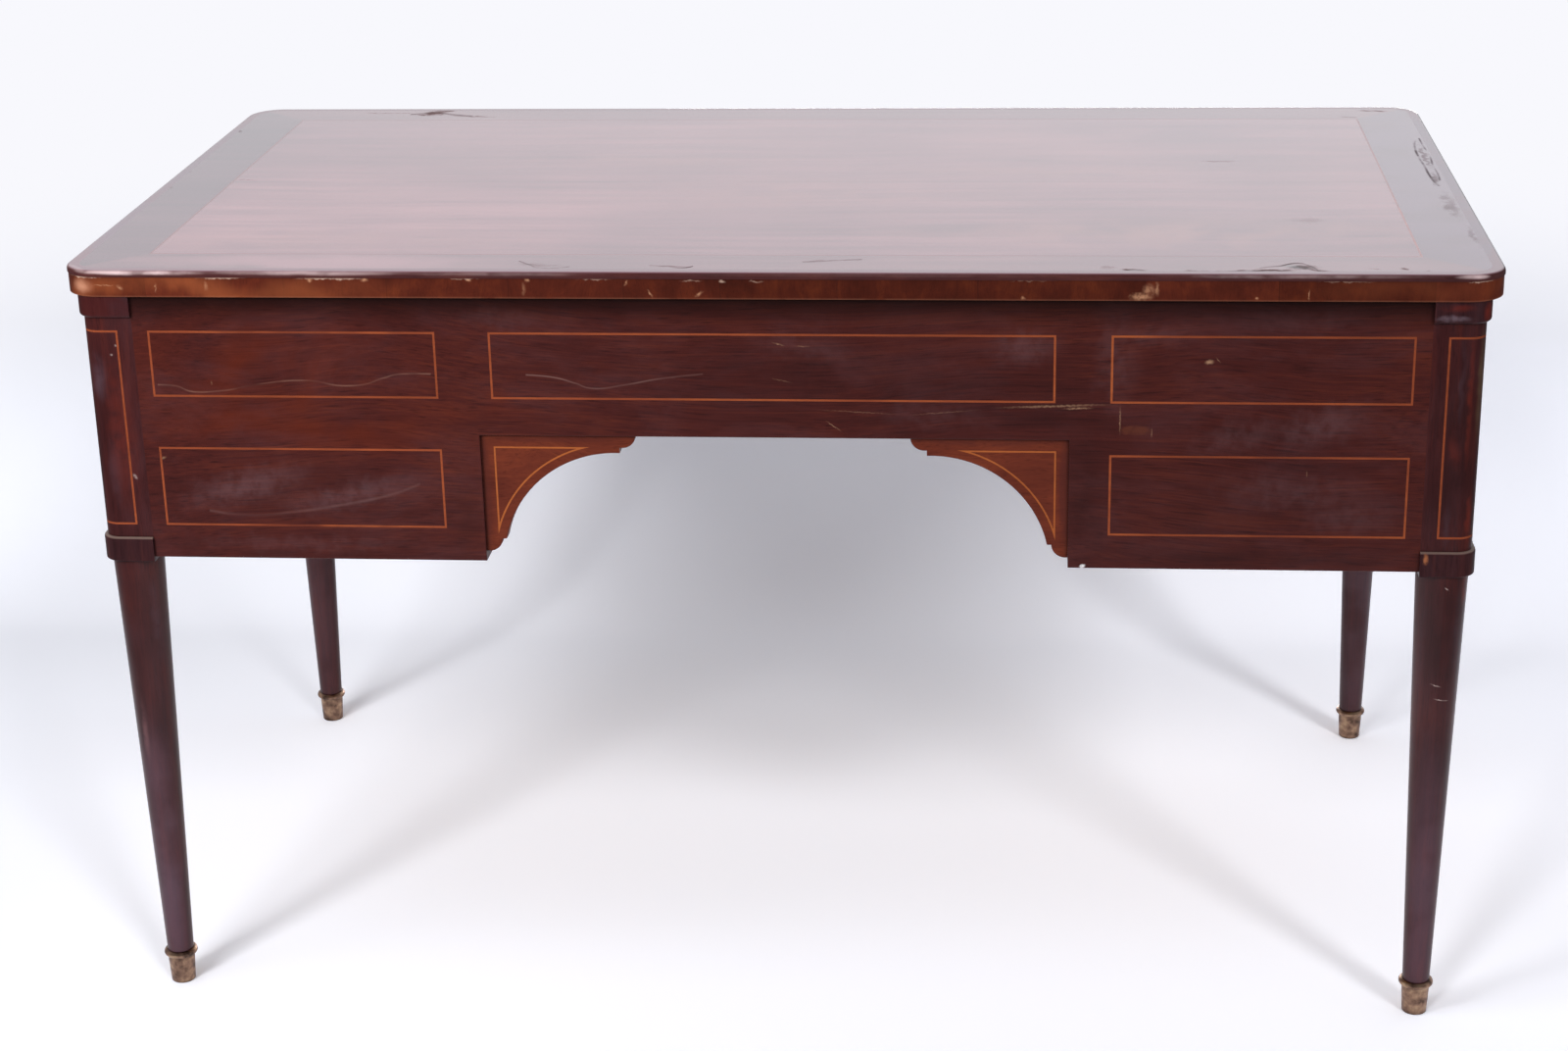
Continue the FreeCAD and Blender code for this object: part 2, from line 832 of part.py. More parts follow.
def make_runners():
    runner_z = (divider_top - size.runner_height, divider_top)
    between_posts = (-seam_y, seam_y)
    behind_rail = (-back_inside, seam_y)
    stop_places = {
        "inner": inner_side_x + size.stop_inset,
        "outer": seam_x - size.stop_inset,
    }
    strips = []
    stops = []
    for name, side in sides.items():
        outer_x = span(side, seam_x - size.runner_width, end_inside)
        strips.append(box(f"runner_outer_{name}", outer_x, between_posts, runner_z))
        inner_x = span(side, inner_side_x, inner_side_x + size.runner_width)
        strips.append(box(f"runner_inner_{name}", inner_x, behind_rail, runner_z))
        centre_x = span(side, knee_x - size.runner_width, knee_x)
        strips.append(box(f"runner_centre_{name}", centre_x, behind_rail, runner_z))
        for row, base in (("upper", divider_top), ("lower", floor_top)):
            guide_x = span(side, seam_x, end_inside)
            guide_z = (base, base + size.guide_height)
            strips.append(box(f"guide_{row}_{name}", guide_x, between_posts, guide_z))
            for edge, middle in stop_places.items():
                stops.append(make_stop(f"stop_{row}_{edge}_{name}", side * middle, base))
        stops.append(make_stop(f"stop_centre_{name}", side * (knee_x - size.stop_inset), divider_top))
    keep(group("drawer_runners", strips))
    keep(group("drawer_stops", stops))


def make_stop(name, middle, base):
    stop_face = flat_face - size.drawer_front_thickness
    y = (stop_face - size.stop_width, stop_face)
    return box(name, about(middle, size.stop_length), y, (base, base + size.stop_height))


# Brackets

def bracket_cut(name, side, inset, radius, y):
    # The three-cornered field of a bracket, beyond an arc about the cove's centre
    centre_x = knee_x - size.cove_centre_in
    centre_z = knee_top - size.cove_centre_down
    x = span(side, centre_x, knee_x - inset)
    corner = box(f"{name}_corner", x, y, (centre_z, knee_top - inset))
    round_part = cylinder(f"{name}_round", 2 * radius, side * centre_x, y, centre_z)
    return cut(name, corner, round_part)


def shaped_arris(edge):
    # The three curves of a bracket's face
    on_face = all(abs(vertex.Y + size.bracket_thickness.value) < 1e-6 for vertex in edge.Vertexes)
    return on_face and edge.Curve.TypeId == "Part::GeomCircle"


def make_brackets():
    lines = []
    face_y = flat_face - size.bracket_set_back
    line_y_span = span(-1, face_y - size.line_depth, face_y)
    step = size.bracket_step
    radius = size.bracket_round
    centre_in = size.cove_centre_in
    centre_down = size.cove_centre_down
    squared = size.cove_radius * size.cove_radius
    cove_start = size.bracket_width - radius - step
    off = cove_start - centre_in
    cove_start_down = centre_down - square_root(squared - off * off)
    cove_end_down = size.bracket_height - radius
    fall = centre_down - cove_end_down
    cove_end = centre_in - square_root(squared - fall * fall)
    for name, side in sides.items():
        outline = [
            (0, 0),
            (size.bracket_width, 0),
            (size.bracket_width - radius, radius, size.bracket_width - radius, 0),
            (cove_start, radius),
            (cove_start, cove_start_down),
            (cove_end, cove_end_down, centre_in, centre_down),
            (step + radius, cove_end_down),
            (step, size.bracket_height, step, cove_end_down),
            (0, size.bracket_height),
        ]
        corner_points = [place_bracket(side, corner) for corner in outline]
        body = add_body(f"bracket_{name}_board")
        board = pad(body, add_sketch(body, "XZ_Plane", corner_points), size.bracket_thickness)
        round_edges(body, board, size.bracket_arris, shaped_arris)
        place(body, 0, size.bracket_thickness - face_y, 0)
        inset = size.bracket_line_inset
        reach = size.cove_radius + size.bracket_line_from_cove
        outside = bracket_cut(f"bracket_field_{name}", side, inset, reach, line_y_span)
        width = size.bracket_line_width
        inside = bracket_cut(f"bracket_heart_{name}", side, inset + width, reach + width, line_y_span)
        line = cut(f"bracket_line_{name}", outside, inside)
        lines.append(line)
        keep(cut(f"bracket_{name}", body, line))
    keep(group("bracket_stringing", lines))


def place_bracket(side, corner):
    # From distances in from the kneehole's side and down from its top
    across = corner[0::2]
    down = corner[1::2]
    placed = []
    for inward, drop in zip(across, down):
        placed.extend((side * (knee_x - inward), knee_top - drop))
    return placed


# Drawers

def make_drawer(name, x, z, knob_places):
    front_inside = flat_face - size.drawer_front_thickness
    back_end = flat_face - size.drawer_length
    left = x[0] + size.drawer_gap
    right = x[1] - size.drawer_gap
    base = z[0]
    side_height = z[1] - z[0] - size.drawer_side_drop
    bottom_z = base + size.drawer_bottom_rise
    bottom_top = bottom_z + size.drawer_bottom_thickness
    inner = (left + size.drawer_side_thickness, right - size.drawer_side_thickness)

    bottom_x = (inner[0] - size.groove_depth, inner[1] + size.groove_depth)
    bottom_y = (back_end, front_inside + size.groove_depth)
    bottom = keep(box(f"{name}_bottom", bottom_x, bottom_y, (bottom_z, bottom_top)))

    back_x = (inner[0] - size.housing_depth, inner[1] + size.housing_depth)
    back_start = back_end + size.drawer_back_inset
    back_y = (back_start, back_start + size.drawer_back_thickness)
    back_z = (bottom_top, base + side_height - size.drawer_back_drop)
    back = box(f"{name}_back", back_x, back_y, back_z)

    blanks = []
    walls = []
    for hand, side_x in (("left", (left, inner[0])), ("right", (inner[1], right))):
        wall_name = f"{name}_side_{hand}"
        board = box(f"{wall_name}_board", side_x, (back_end, front_inside), (base, base + side_height))
        tails = make_tails(wall_name, side_x, front_inside, base, side_height)
        blank = fuse(f"{wall_name}_blank", board, *tails)
        blanks.append(blank)
        walls.append(cut(wall_name, blank, bottom, back))
    keep(group(f"{name}_box", walls + [back]))

    front_x = (left, right)
    front_z = (base + size.drawer_gap, z[1] - size.drawer_gap)
    inset = size.drawer_line_inset
    line_x_span = (left + inset, right - inset)
    line_z = (front_z[0] + inset, front_z[1] - inset)
    line_y_span = (flat_face - size.line_depth, flat_face)
    line = keep(frame(f"{name}_stringing", line_x_span, line_y_span, line_z, size.line_width, 1))
    knob_z = (z[0] + z[1]) / 2
    knobs = []
    holes = []
    for number, knob_x in enumerate(knob_places, start=1):
        knobs.extend(make_knob(f"{name}_knob_{number}", knob_x, knob_z, front_inside))
        hole_diameter = size.knob_spigot_diameter + 2 * size.knob_clearance
        hole = cylinder(f"{name}_hole_{number}", hole_diameter, knob_x, (front_inside, flat_face), knob_z)
        holes.append(hole)
    keep(group(f"{name}_knob", knobs))
    blank = box(f"{name}_front_blank", front_x, (front_inside, flat_face), front_z)
    keep(cut(f"{name}_front", blank, *blanks, bottom, line, *holes))


tail_count = 3


def make_tails(name, x, shoulder_y, base, height):
    # Dovetails that widen towards the drawer front's face
    pitch = height / tail_count
    tails = []
    for number in range(tail_count):
        middle = base + pitch * (number + 0.5)
        narrow = about(middle, pitch / 2)
        wide = (narrow[0] - size.tail_flare, narrow[1] + size.tail_flare)
        tail = doc.addObject("Part::Wedge", f"{name}_tail_{number + 1}")
        limits = {
            "Xmin": x[0], "Xmax": x[1], "X2min": x[0], "X2max": x[1],
            "Zmin": narrow[0], "Zmax": narrow[1], "Z2min": wide[0], "Z2max": wide[1],
            "Ymin": shoulder_y, "Ymax": shoulder_y + size.tail_length,
        }
        for prop, limit in limits.items():
            bind(tail, prop, limit)
        tails.append(tail)
    return tails


def make_knob(name, x, z, front_inside):
    body = add_body(name)
    neck = size.knob_neck_diameter / 2
    head = size.knob_head_diameter / 2
    spigot = size.knob_spigot_diameter / 2
    flange = size.knob_flange_diameter / 2
    neck_end = size.knob_flange_thickness + size.knob_neck_length
    rim = neck_end + size.knob_head_rim
    crown = size.knob_projection - rim
    dome_radius = (head * head + crown * crown) / (2 * crown)
    spigot_end = front_inside - flat_face - size.knob_nut_thickness
    profile = [
        (0, spigot_end),
        (spigot, spigot_end),
        (spigot, 0),
        (flange, 0),
        (flange, size.knob_flange_thickness),
        (neck, size.knob_flange_thickness),
        (neck, neck_end),
        (head, rim),
        (0, size.knob_projection, 0, size.knob_projection - dome_radius),
    ]
    revolve(body, add_sketch(body, "XY_Plane", profile))
    place(body, x, flat_face, z)
    nut_y = (front_inside - size.knob_nut_thickness, front_inside)
    washer = cylinder(f"{name}_nut_blank", size.knob_nut_diameter, x, nut_y, z)
    bore_diameter = size.knob_spigot_diameter + 2 * size.knob_clearance
    bore = cylinder(f"{name}_nut_bore", bore_diameter, x, nut_y, z)
    return [body, cut(f"{name}_nut", washer, bore)]


def make_drawers():
    upper_z = (divider_top, under_rail)
    lower_z = (floor_top, knee_top)
    half_spacing = size.knob_spacing / 2
    make_drawer("drawer_centre", (-knee_x, knee_x), upper_z, (-half_spacing, half_spacing))
    for name, side in sides.items():
        x = span(side, inner_side_x, seam_x)
        middle = side * (inner_side_x + seam_x) / 2
        make_drawer(f"drawer_upper_{name}", x, upper_z, (middle,))
        make_drawer(f"drawer_lower_{name}", x, lower_z, (middle,))


make_edge()
make_core(make_battens())
make_crossbanding()
make_corners()
make_back_panel()
make_end_panels()
make_carcass()
make_runners()
make_brackets()
make_drawers()
doc.recompute()

for item in doc.Objects:
    if "Invalid" in item.State or "Error" in item.State:
        raise RuntimeError(f"{item.Name} failed: {item.State}")
for name, item in nodes.items():
    if item.Shape.isNull() or not item.Shape.isValid():
        raise RuntimeError(f"{name} has no valid shape")
os.makedirs("parts", exist_ok=True)
for name, item in nodes.items():
    item.Shape.exportStep(f"parts/{name}.step")
    print(name, len(item.Shape.Solids), round(item.Shape.Volume))
print(len(nodes), "nodes")
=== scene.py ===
import json
import math
import bpy
from mathutils import Matrix, Vector

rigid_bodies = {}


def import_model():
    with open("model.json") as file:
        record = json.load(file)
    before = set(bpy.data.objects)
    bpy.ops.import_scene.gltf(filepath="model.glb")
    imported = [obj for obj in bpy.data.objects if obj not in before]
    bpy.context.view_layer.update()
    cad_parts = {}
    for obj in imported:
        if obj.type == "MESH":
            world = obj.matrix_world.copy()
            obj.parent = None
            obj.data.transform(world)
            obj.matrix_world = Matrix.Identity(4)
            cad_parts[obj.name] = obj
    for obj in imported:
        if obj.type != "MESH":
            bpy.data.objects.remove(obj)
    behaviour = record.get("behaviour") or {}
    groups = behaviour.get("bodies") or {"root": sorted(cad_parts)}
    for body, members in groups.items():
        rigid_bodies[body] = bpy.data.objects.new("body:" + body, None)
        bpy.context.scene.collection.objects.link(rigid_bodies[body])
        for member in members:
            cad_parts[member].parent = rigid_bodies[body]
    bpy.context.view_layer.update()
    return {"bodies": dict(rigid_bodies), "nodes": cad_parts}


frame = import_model()
nodes = frame["nodes"]
mm = 0.001  # the scene is in metres, sizes below are in millimetres
print("frame loaded:", len(nodes), "pieces")


def linear(hexColour):  # sRGB hex to linear RGBA
    channels = [int(hexColour[i:i + 2], 16) / 255 for i in (1, 3, 5)]
    return [c / 12.92 if c <= 0.04045 else ((c + 0.055) / 1.055) ** 2.4 for c in channels] + [1.0]


def addNode(mat, kind, inputs=None, stops=(), **settings):  # a node or socket given as a value is linked
    node = mat.node_tree.nodes.new("ShaderNode" + kind)
    for name, value in settings.items():
        setattr(node, name, value)
    for key, value in (inputs or {}).items():
        if isinstance(value, bpy.types.Node):
            value = value.outputs[0]
        if isinstance(value, bpy.types.NodeSocket):
            mat.node_tree.links.new(value, node.inputs[key])
        else:
            node.inputs[key].default_value = value
    for number, (place, colour) in enumerate(stops):
        ramp = node.color_ramp.elements
        stop = ramp[number] if number < 2 else ramp.new(place)
        stop.position = place
        stop.color = linear(colour)
    return node


def newMaterial(name):
    mat = bpy.data.materials.new(name)
    mat.use_nodes = True
    mat.node_tree.nodes.clear()
    return mat


def finishMaterial(mat, surface):
    shader = addNode(mat, "BsdfPrincipled", surface)
    addNode(mat, "OutputMaterial", {"Surface": shader})
    print("material:", mat.name)
    return mat


def ownPlace(mat):  # a point's place on the piece, and its x, y and z
    where = addNode(mat, "TexCoord").outputs["Object"]
    return where, addNode(mat, "SeparateXYZ", {0: where}).outputs


def facingUp(mat):  # 1 on a level surface and 0 on an upright one
    return addNode(mat, "SeparateXYZ", {0: addNode(mat, "NewGeometry").outputs["Normal"]}).outputs[2]


def dress(mat, *names):
    for name in names:
        slots = nodes[name].material_slots
        for slot in slots:
            slot.material = mat
        if not slots:
            nodes[name].data.materials.append(mat)


# Wood: a slow figure, fine streaks and dark pores, drawn out along a grain that sweeps a little

toneStops = (0.0, 0.5, 1.0)  # dark, middle and light
poreEdge = (0.56, 0.72)  # noise levels at which a pore begins and is full
poreStrength = 0.35  # how much open pores break the polish


def woodGrain(mat, wood):
    where = addNode(mat, "TexCoord").outputs["Object"]
    size, amount = wood["sweep"]
    swirl = {"Vector": where, "Scale": 1 / (size * mm), "Detail": 1}
    swirl = addNode(mat, "TexNoise", swirl).outputs["Color"]
    bent = addNode(mat, "VectorMath", {0: swirl, 1: [amount * mm] * 3, 2: where}, operation="MULTIPLY_ADD")

    def drawnOut(length, width, detail, wander):
        stretch = [1 / (width * mm)] * 3
        stretch["xyz".index(wood["along"])] = 1 / (length * mm)
        place = addNode(mat, "Mapping", {"Vector": bent, "Location": wood["start"], "Scale": stretch})
        noise = {"Vector": place, "Scale": 1, "Detail": detail, "Roughness": 0.6, "Distortion": wander}
        return addNode(mat, "TexNoise", noise)

    figure = drawnOut(*wood["figure"], detail=4, wander=wood["wander"])
    streaks = drawnOut(*wood["streaks"], detail=3, wander=0.2)
    pores = drawnOut(*wood["pores"], detail=1, wander=0)
    cloud = addNode(mat, "TexNoise", {"Vector": where, "Scale": 1 / (wood["cloud"] * mm), "Detail": 2})
    tone = figure
    for layer, share in ((streaks, wood["streakShare"]), (cloud, wood["cloudShare"])):
        tone = addNode(mat, "Math", {0: layer, 1: share, 2: tone}, operation="MULTIPLY_ADD")
    middle = (1 + wood["streakShare"] + wood["cloudShare"]) / 2  # the sum's mean
    spread = {"Value": tone, "From Min": middle - wood["spread"], "From Max": middle + wood["spread"]}
    tone = addNode(mat, "MapRange", spread)
    colour = addNode(mat, "ValToRGB", {"Fac": tone}, zip(toneStops, wood["colours"]))
    pits = {"Value": pores, "From Min": poreEdge[0], "From Max": poreEdge[1], "To Max": wood["poreDepth"]}
    pits = addNode(mat, "MapRange", pits)
    inks = {0: pits, 6: colour, 7: linear(wood["poreColour"])}
    colour = addNode(mat, "Mix", inks, data_type="RGBA").outputs[2]
    return colour, pits


def finishWood(mat, colour, pits, looks, amount=0.0):  # open pores are felt as a fine bump
    bump = {"Strength": poreStrength, "Distance": looks["bump"] * mm, "Height": pits}
    surface = {"Base Color": colour, "Normal": addNode(mat, "Bump", bump, invert=True), **looks["finish"]}
    for socket, (first, second) in looks.get("shine", {}).items():  # changes as the amount grows
        shift = {"Value": amount, "To Min": first, "To Max": second}
        surface[socket] = addNode(mat, "MapRange", shift)
    return finishMaterial(mat, surface)


# Marks: ovals with ragged edges on one face, each (across, up, width, height, turn, strength),
# that fade from a core, or from the middle

patchy = {"From Min": 0.32, "From Max": 0.55, "To Min": 0.3}  # a mark is thin in places
speckle = {"core": 0.4, "rare": 0.55}  # full within this share of its size, and only in some cells
cornerShadeLevels = (0.85, 0.35)  # openness at which the painted corner shade begins and is full
veilEdge = (0.42, 0.72)  # noise levels between clear and cloudy polish
breakEdge = 0.06  # how softly a straight line breaks off
linePath = {"margin": 5, "reach": 0.485, "thin": 0.3, "full": 0.6}  # a wandering line's ends and breaks


def placeMarks(mat, marks):
    flat = marks["flat"]
    where = addNode(mat, "TexCoord").outputs["Object"]
    ragged = addNode(mat, "TexNoise", {"Vector": where, "Scale": 1 / (marks["grit"] * mm), "Detail": 3})
    shift = {0: ragged.outputs["Color"], 1: (0.5, 0.5, 0.5)}
    shift = addNode(mat, "VectorMath", shift, operation="SUBTRACT")
    reach = {0: shift, 1: [marks["ragged"] * mm] * 3, 2: where}
    where = addNode(mat, "VectorMath", reach, operation="MULTIPLY_ADD")
    total = 0.0
    for across, up, width, height, turn, strength in marks["places"]:
        centre = [across * mm, up * mm]
        centre.insert(flat, marks["at"] * mm)
        half = [width / 2 * mm, height / 2 * mm]
        half.insert(flat, marks["depth"] * mm)
        spin = [0, 0, 0]
        spin[flat] = math.radians(-turn if flat == 1 else turn)
        oval = {"Vector": where, "Location": centre, "Rotation": spin, "Scale": half}
        oval = addNode(mat, "Mapping", oval, vector_type="TEXTURE")
        away = addNode(mat, "VectorMath", {0: oval}, operation="LENGTH").outputs["Value"]
        fade = {"Value": away, "From Min": 1, "From Max": marks.get("core", 0), "To Max": strength}
        fade = addNode(mat, "MapRange", fade, interpolation_type="SMOOTHSTEP")
        total = addNode(mat, "Math", {0: fade, 1: total}, operation="MAXIMUM")
    uneven = addNode(mat, "MapRange", {"Value": ragged, **patchy})
    return addNode(mat, "Math", {0: total, 1: uneven}, operation="MULTIPLY")


def layOn(mat, colour, *layers):  # each layer is a function that gives its cover, and its look
    for cover, look in layers:
        inks = {0: cover(mat, look), 6: colour, 7: linear(look["colour"])}
        colour = addNode(mat, "Mix", inks, data_type="RGBA").outputs[2]
    return colour


def layMarks(mat, colour, face, piece, *names):
    return layOn(mat, colour, *[(placeMarks, {**piece[name], **face}) for name in names])


def lineBody(mat, where, gap, line, bare, whole, detail, ease="LINEAR"):  # broken here and there
    gap = addNode(mat, "Math", {0: gap}, operation="ABSOLUTE")
    body = {"Value": gap, "From Min": line["width"] * mm, "From Max": 0, "To Max": line["strength"]}
    body = addNode(mat, "MapRange", body, interpolation_type=ease)
    broken = {"Vector": where, "Scale": 1 / (line["breaks"] * mm), "Detail": detail}
    broken = {"Value": addNode(mat, "TexNoise", broken), "From Min": bare, "From Max": whole}
    broken = addNode(mat, "MapRange", broken)
    return addNode(mat, "Math", {0: body, 1: broken}, operation="MULTIPLY")


def thinLine(mat, line):  # a straight joint or a rubbed arris
    where, axes = ownPlace(mat)
    gap = addNode(mat, "Math", {0: axes[line["axis"]], 1: line["at"] * mm}, operation="SUBTRACT")
    bare, whole = line["bare"] - breakEdge, line["bare"] + breakEdge
    return lineBody(mat, where, gap, line, bare, whole, detail=3)


def heightBand(mat, smoke):  # a tone that grows from one height to another
    up = ownPlace(mat)[1][2]
    low, high = smoke["from"] * mm, smoke["to"] * mm
    cover = {"Value": up, "From Min": low, "From Max": high, "To Max": smoke["strength"]}
    return addNode(mat, "MapRange", cover, interpolation_type="SMOOTHSTEP")


def wanderingLine(mat, line):  # runs along the first axis and wanders along the second
    where, axes = ownPlace(mat)
    along, aside = [axes[axis] for axis in line["axes"]]
    points = line["points"]
    start, end = points[0][0], points[-1][0]
    low = min(up for across, up in points) - linePath["margin"]
    high = max(up for across, up in points) + linePath["margin"]
    run = addNode(mat, "MapRange", {"Value": along, "From Min": start * mm, "From Max": end * mm})
    wander = addNode(mat, "FloatCurve", {"Value": run})
    curve = wander.mapping.curves[0]
    for number, (across, up) in enumerate(points):
        spot = ((across - start) / (end - start), (up - low) / (high - low))
        if number in (0, len(points) - 1):
            curve.points[0 if number == 0 else -1].location = spot
        else:
            curve.points.new(*spot)
    wander.mapping.update()
    level = addNode(mat, "MapRange", {"Value": wander, "To Min": low * mm, "To Max": high * mm})
    gap = addNode(mat, "Math", {0: aside, 1: level}, operation="SUBTRACT")
    body = lineBody(mat, where, gap, line, linePath["thin"], linePath["full"], 2, "SMOOTHSTEP")
    ends = addNode(mat, "Math", {0: run, 1: 0.5, 2: linePath["reach"]}, operation="COMPARE")
    return addNode(mat, "Math", {0: body, 1: ends}, operation="MULTIPLY")


def bloom(mat, veil):  # blue-grey cloudiness in old shellac
    where = addNode(mat, "TexCoord").outputs["Object"]
    patch = [1 / (length * mm) for length in veil["patch"]]
    place = addNode(mat, "Mapping", {"Vector": where, "Location": veil["start"], "Scale": patch})
    cloud = {"Vector": place, "Scale": 1, "Detail": 8, "Roughness": 0.68, "Distortion": 0.4}
    cloud = addNode(mat, "TexNoise", cloud)
    cover = {"Value": cloud, "From Min": veilEdge[0], "From Max": veilEdge[1], "To Max": veil["most"]}
    return addNode(mat, "MapRange", cover, interpolation_type="SMOOTHSTEP")


def cornerShadeAndSoil(mat, dirt):  # painted shade with soiling: darker in corners, creases and between parts, where the surface is shut in
    corner = addNode(mat, "AmbientOcclusion", {"Distance": dirt["reach"] * mm}, samples=4).outputs["AO"]
    clean, full = cornerShadeLevels
    cover = {"Value": corner, "From Min": clean, "From Max": full, "To Max": dirt["strength"]}
    return addNode(mat, "MapRange", cover)


def specks(mat, dots):  # scattered nicks that show pale through the polish
    where = addNode(mat, "TexCoord").outputs["Object"]
    cells = addNode(mat, "TexVoronoi", {"Vector": where, "Scale": 1 / (dots["apart"] * mm)})
    size = dots["size"] / dots["apart"]
    nick = {"Value": cells.outputs["Distance"], "From Min": size, "From Max": size * speckle["core"]}
    nick = addNode(mat, "MapRange", nick)
    chosen = addNode(mat, "SeparateColor", {0: cells.outputs["Color"]})
    chosen = {"Value": chosen, "From Min": speckle["rare"], "To Max": dots["strength"]}
    chosen = addNode(mat, "MapRange", chosen)
    return addNode(mat, "Math", {0: nick, 1: chosen}, operation="MULTIPLY")


# Back panel: mahogany veneer laid lengthwise, French polished and faded

backFace = {"flat": 1, "at": -351, "depth": 12}
backPanel = {
    "wood": {
        "along": "x", "start": (0.3, 0.1, 0.7), "wander": 0.6, "sweep": (320, 60),
        "figure": (230, 11), "streaks": (110, 2.2), "cloud": 170,
        "streakShare": 1.2, "cloudShare": 0.9, "spread": 0.82,
        "colours": ("#260F0F", "#3E1916", "#562519"),
        "pores": (34, 1.6), "poreColour": "#200C0C", "poreDepth": 0.5,  # drawn coarse, to show
    },
    "veil": {"start": (0.2, 0, 0.4), "patch": (120, 120, 60), "colour": "#664A50", "most": 0.1},
    "dirt": {"reach": 14, "strength": 0.75, "colour": "#1C0C0C"},
    "dots": {"apart": 70, "size": 0.9, "strength": 0.55, "colour": "#A88E84"},
    # painted shadow under the top's overhang, darkest just below it
    "smoke": {"from": 702, "to": 734, "strength": 0.78, "colour": "#100706"},
    "warm": {"colour": "#581F0C", "grit": 90, "ragged": 60, "places": [
        (-450, 608, 420, 64, 0, 0.6), (-480, 660, 420, 170, 3, 0.5), (-270, 620, 160, 70, -8, 0.3)]},
    # pale hazy patches: bloom in the polish with some painted sheen
    "hazes": {"colour": "#6B5054", "grit": 12, "ragged": 24, "places": [
        (-500, 548, 170, 50, 14, 0.28), (-400, 540, 190, 36, 13, 0.24), (235, 688, 90, 50, 8, 0.22),
        (505, 616, 130, 52, 18, 0.24), (430, 604, 130, 44, 14, 0.18), (478, 551, 220, 50, -5, 0.14),
        (535, 526, 130, 54, 0, 0.15), (-250, 716, 120, 34, 0, 0.15), (30, 688, 150, 34, -10, 0.1),
        (345, 700, 150, 30, 4, 0.12), (318, 680, 60, 150, 0, 0.16), (-450, 490, 320, 26, 0, 0.12),
        (470, 716, 200, 30, 0, 0.1), (150, 622, 160, 30, -4, 0.1)]},
    "rubs": {"colour": "#A07C60", "grit": 3, "ragged": 2.4, "places": [
        (401, 676, 11, 6, 10, 0.8), (409, 678, 9, 1.5, -50, 0.5), (-582, 575, 9, 4, 15, 0.45),
        (58, 612, 22, 1.4, -36, 0.6), (8, 691, 15, 2, -14, 0.6), (30, 689, 18, 1.5, 0, 0.35),
        (10, 656, 26, 1.4, -12, 0.25), (80, 626, 100, 1.6, -3, 0.2), (160, 626, 80, 1.6, 5, 0.2),
        (262, 633, 130, 3.4, 2, 0.45), (283, 631, 34, 3, 2, 0.6), (321.5, 620, 1.8, 34, 0, 0.6),
        (350.5, 608, 1.6, 12, 0, 0.45), (493, 569, 1.6, 8, 0, 0.35), (-528, 650, 2, 6, 0, 0.3)]},
    "bare": {"colour": "#CFCCCB", "grit": 3, "ragged": 2, "core": 0.4, "places": [
        (289, 476, 8, 5, 25, 0.95)]},
    # painted shade: darker beside the brackets, across the middle and along the foot of the panel
    "shade": {"colour": "#1E0E0F", "grit": 40, "ragged": 20, "places": [
        (292, 540, 70, 180, 0, 0.5), (-292, 520, 60, 110, 0, 0.35), (250, 616, 190, 26, 0, 0.4),
        (60, 655, 760, 130, 0, 0.3), (-450, 540, 360, 110, 0, 0.28), (450, 540, 360, 120, 0, 0.22),
        (450, 486, 360, 34, 0, 0.5)]},
    "patch": {"colour": "#5C3020", "grit": 8, "ragged": 3, "core": 0.6, "places": [
        (336, 610, 34, 12, 0, 0.5)]},
    "bump": 0.15, "finish": {"Roughness": 0.3, "Specular IOR Level": 0.12},
}
tideLines = [  # pale lines where wet polish dried
    {"axes": (0, 2), "width": 1.3, "strength": 0.36, "breaks": 45, "colour": "#96705F",
     "points": [(-584, 648), (-564, 647), (-544, 641), (-522, 642), (-483, 649), (-438, 653), (-399, 648),
                (-363, 656), (-345, 660), (-314, 660)]},
    {"axes": (0, 2), "width": 1.3, "strength": 0.3, "breaks": 40, "colour": "#8F7068",
     "points": [(-231, 660), (-205, 658), (-182, 652), (-164, 647), (-140, 650), (-102, 657), (-60, 662)]},
    {"axes": (0, 2), "width": 2.4, "strength": 0.12, "breaks": 50, "colour": "#8A6C68",
     "points": [(-545, 523), (-500, 518), (-457, 522), (-414, 529), (-368, 539), (-332, 553)]},
]


def agedVeneer(mat, colour, pits):  # nicks, painted corner shade with soiling, and a painted shadow under the top, over any of the veneers
    colour = layOn(mat, colour, (specks, backPanel["dots"]), (cornerShadeAndSoil, backPanel["dirt"]),
                   (heightBand, backPanel["smoke"]))
    return finishWood(mat, colour, pits, backPanel)


def polishedPanelVeneer():
    mat = newMaterial("mahogany_veneer_french_polished")  # warm red brown with a dull blue bloom
    colour, pits = woodGrain(mat, backPanel["wood"])
    colour = layMarks(mat, colour, backFace, backPanel, "warm")
    colour = layOn(mat, colour, (bloom, backPanel["veil"]))
    colour = layMarks(mat, colour, backFace, backPanel, "shade", "hazes", "patch", "rubs", "bare")
    colour = layOn(mat, colour, *[(wanderingLine, line) for line in tideLines])
    return agedVeneer(mat, colour, pits)


dress(polishedPanelVeneer(), "back_panel")


# Ends, pedestal sides and drawer fronts: the same veneer, without the back's own marks

def plainVeneer(name, along, start):
    mat = newMaterial(name)  # mahogany veneer with lengthwise streaks under French polish
    colour, pits = woodGrain(mat, {**backPanel["wood"], "along": along, "start": start})
    colour = layOn(mat, colour, (bloom, {**backPanel["veil"], "start": start}))
    return agedVeneer(mat, colour, pits)


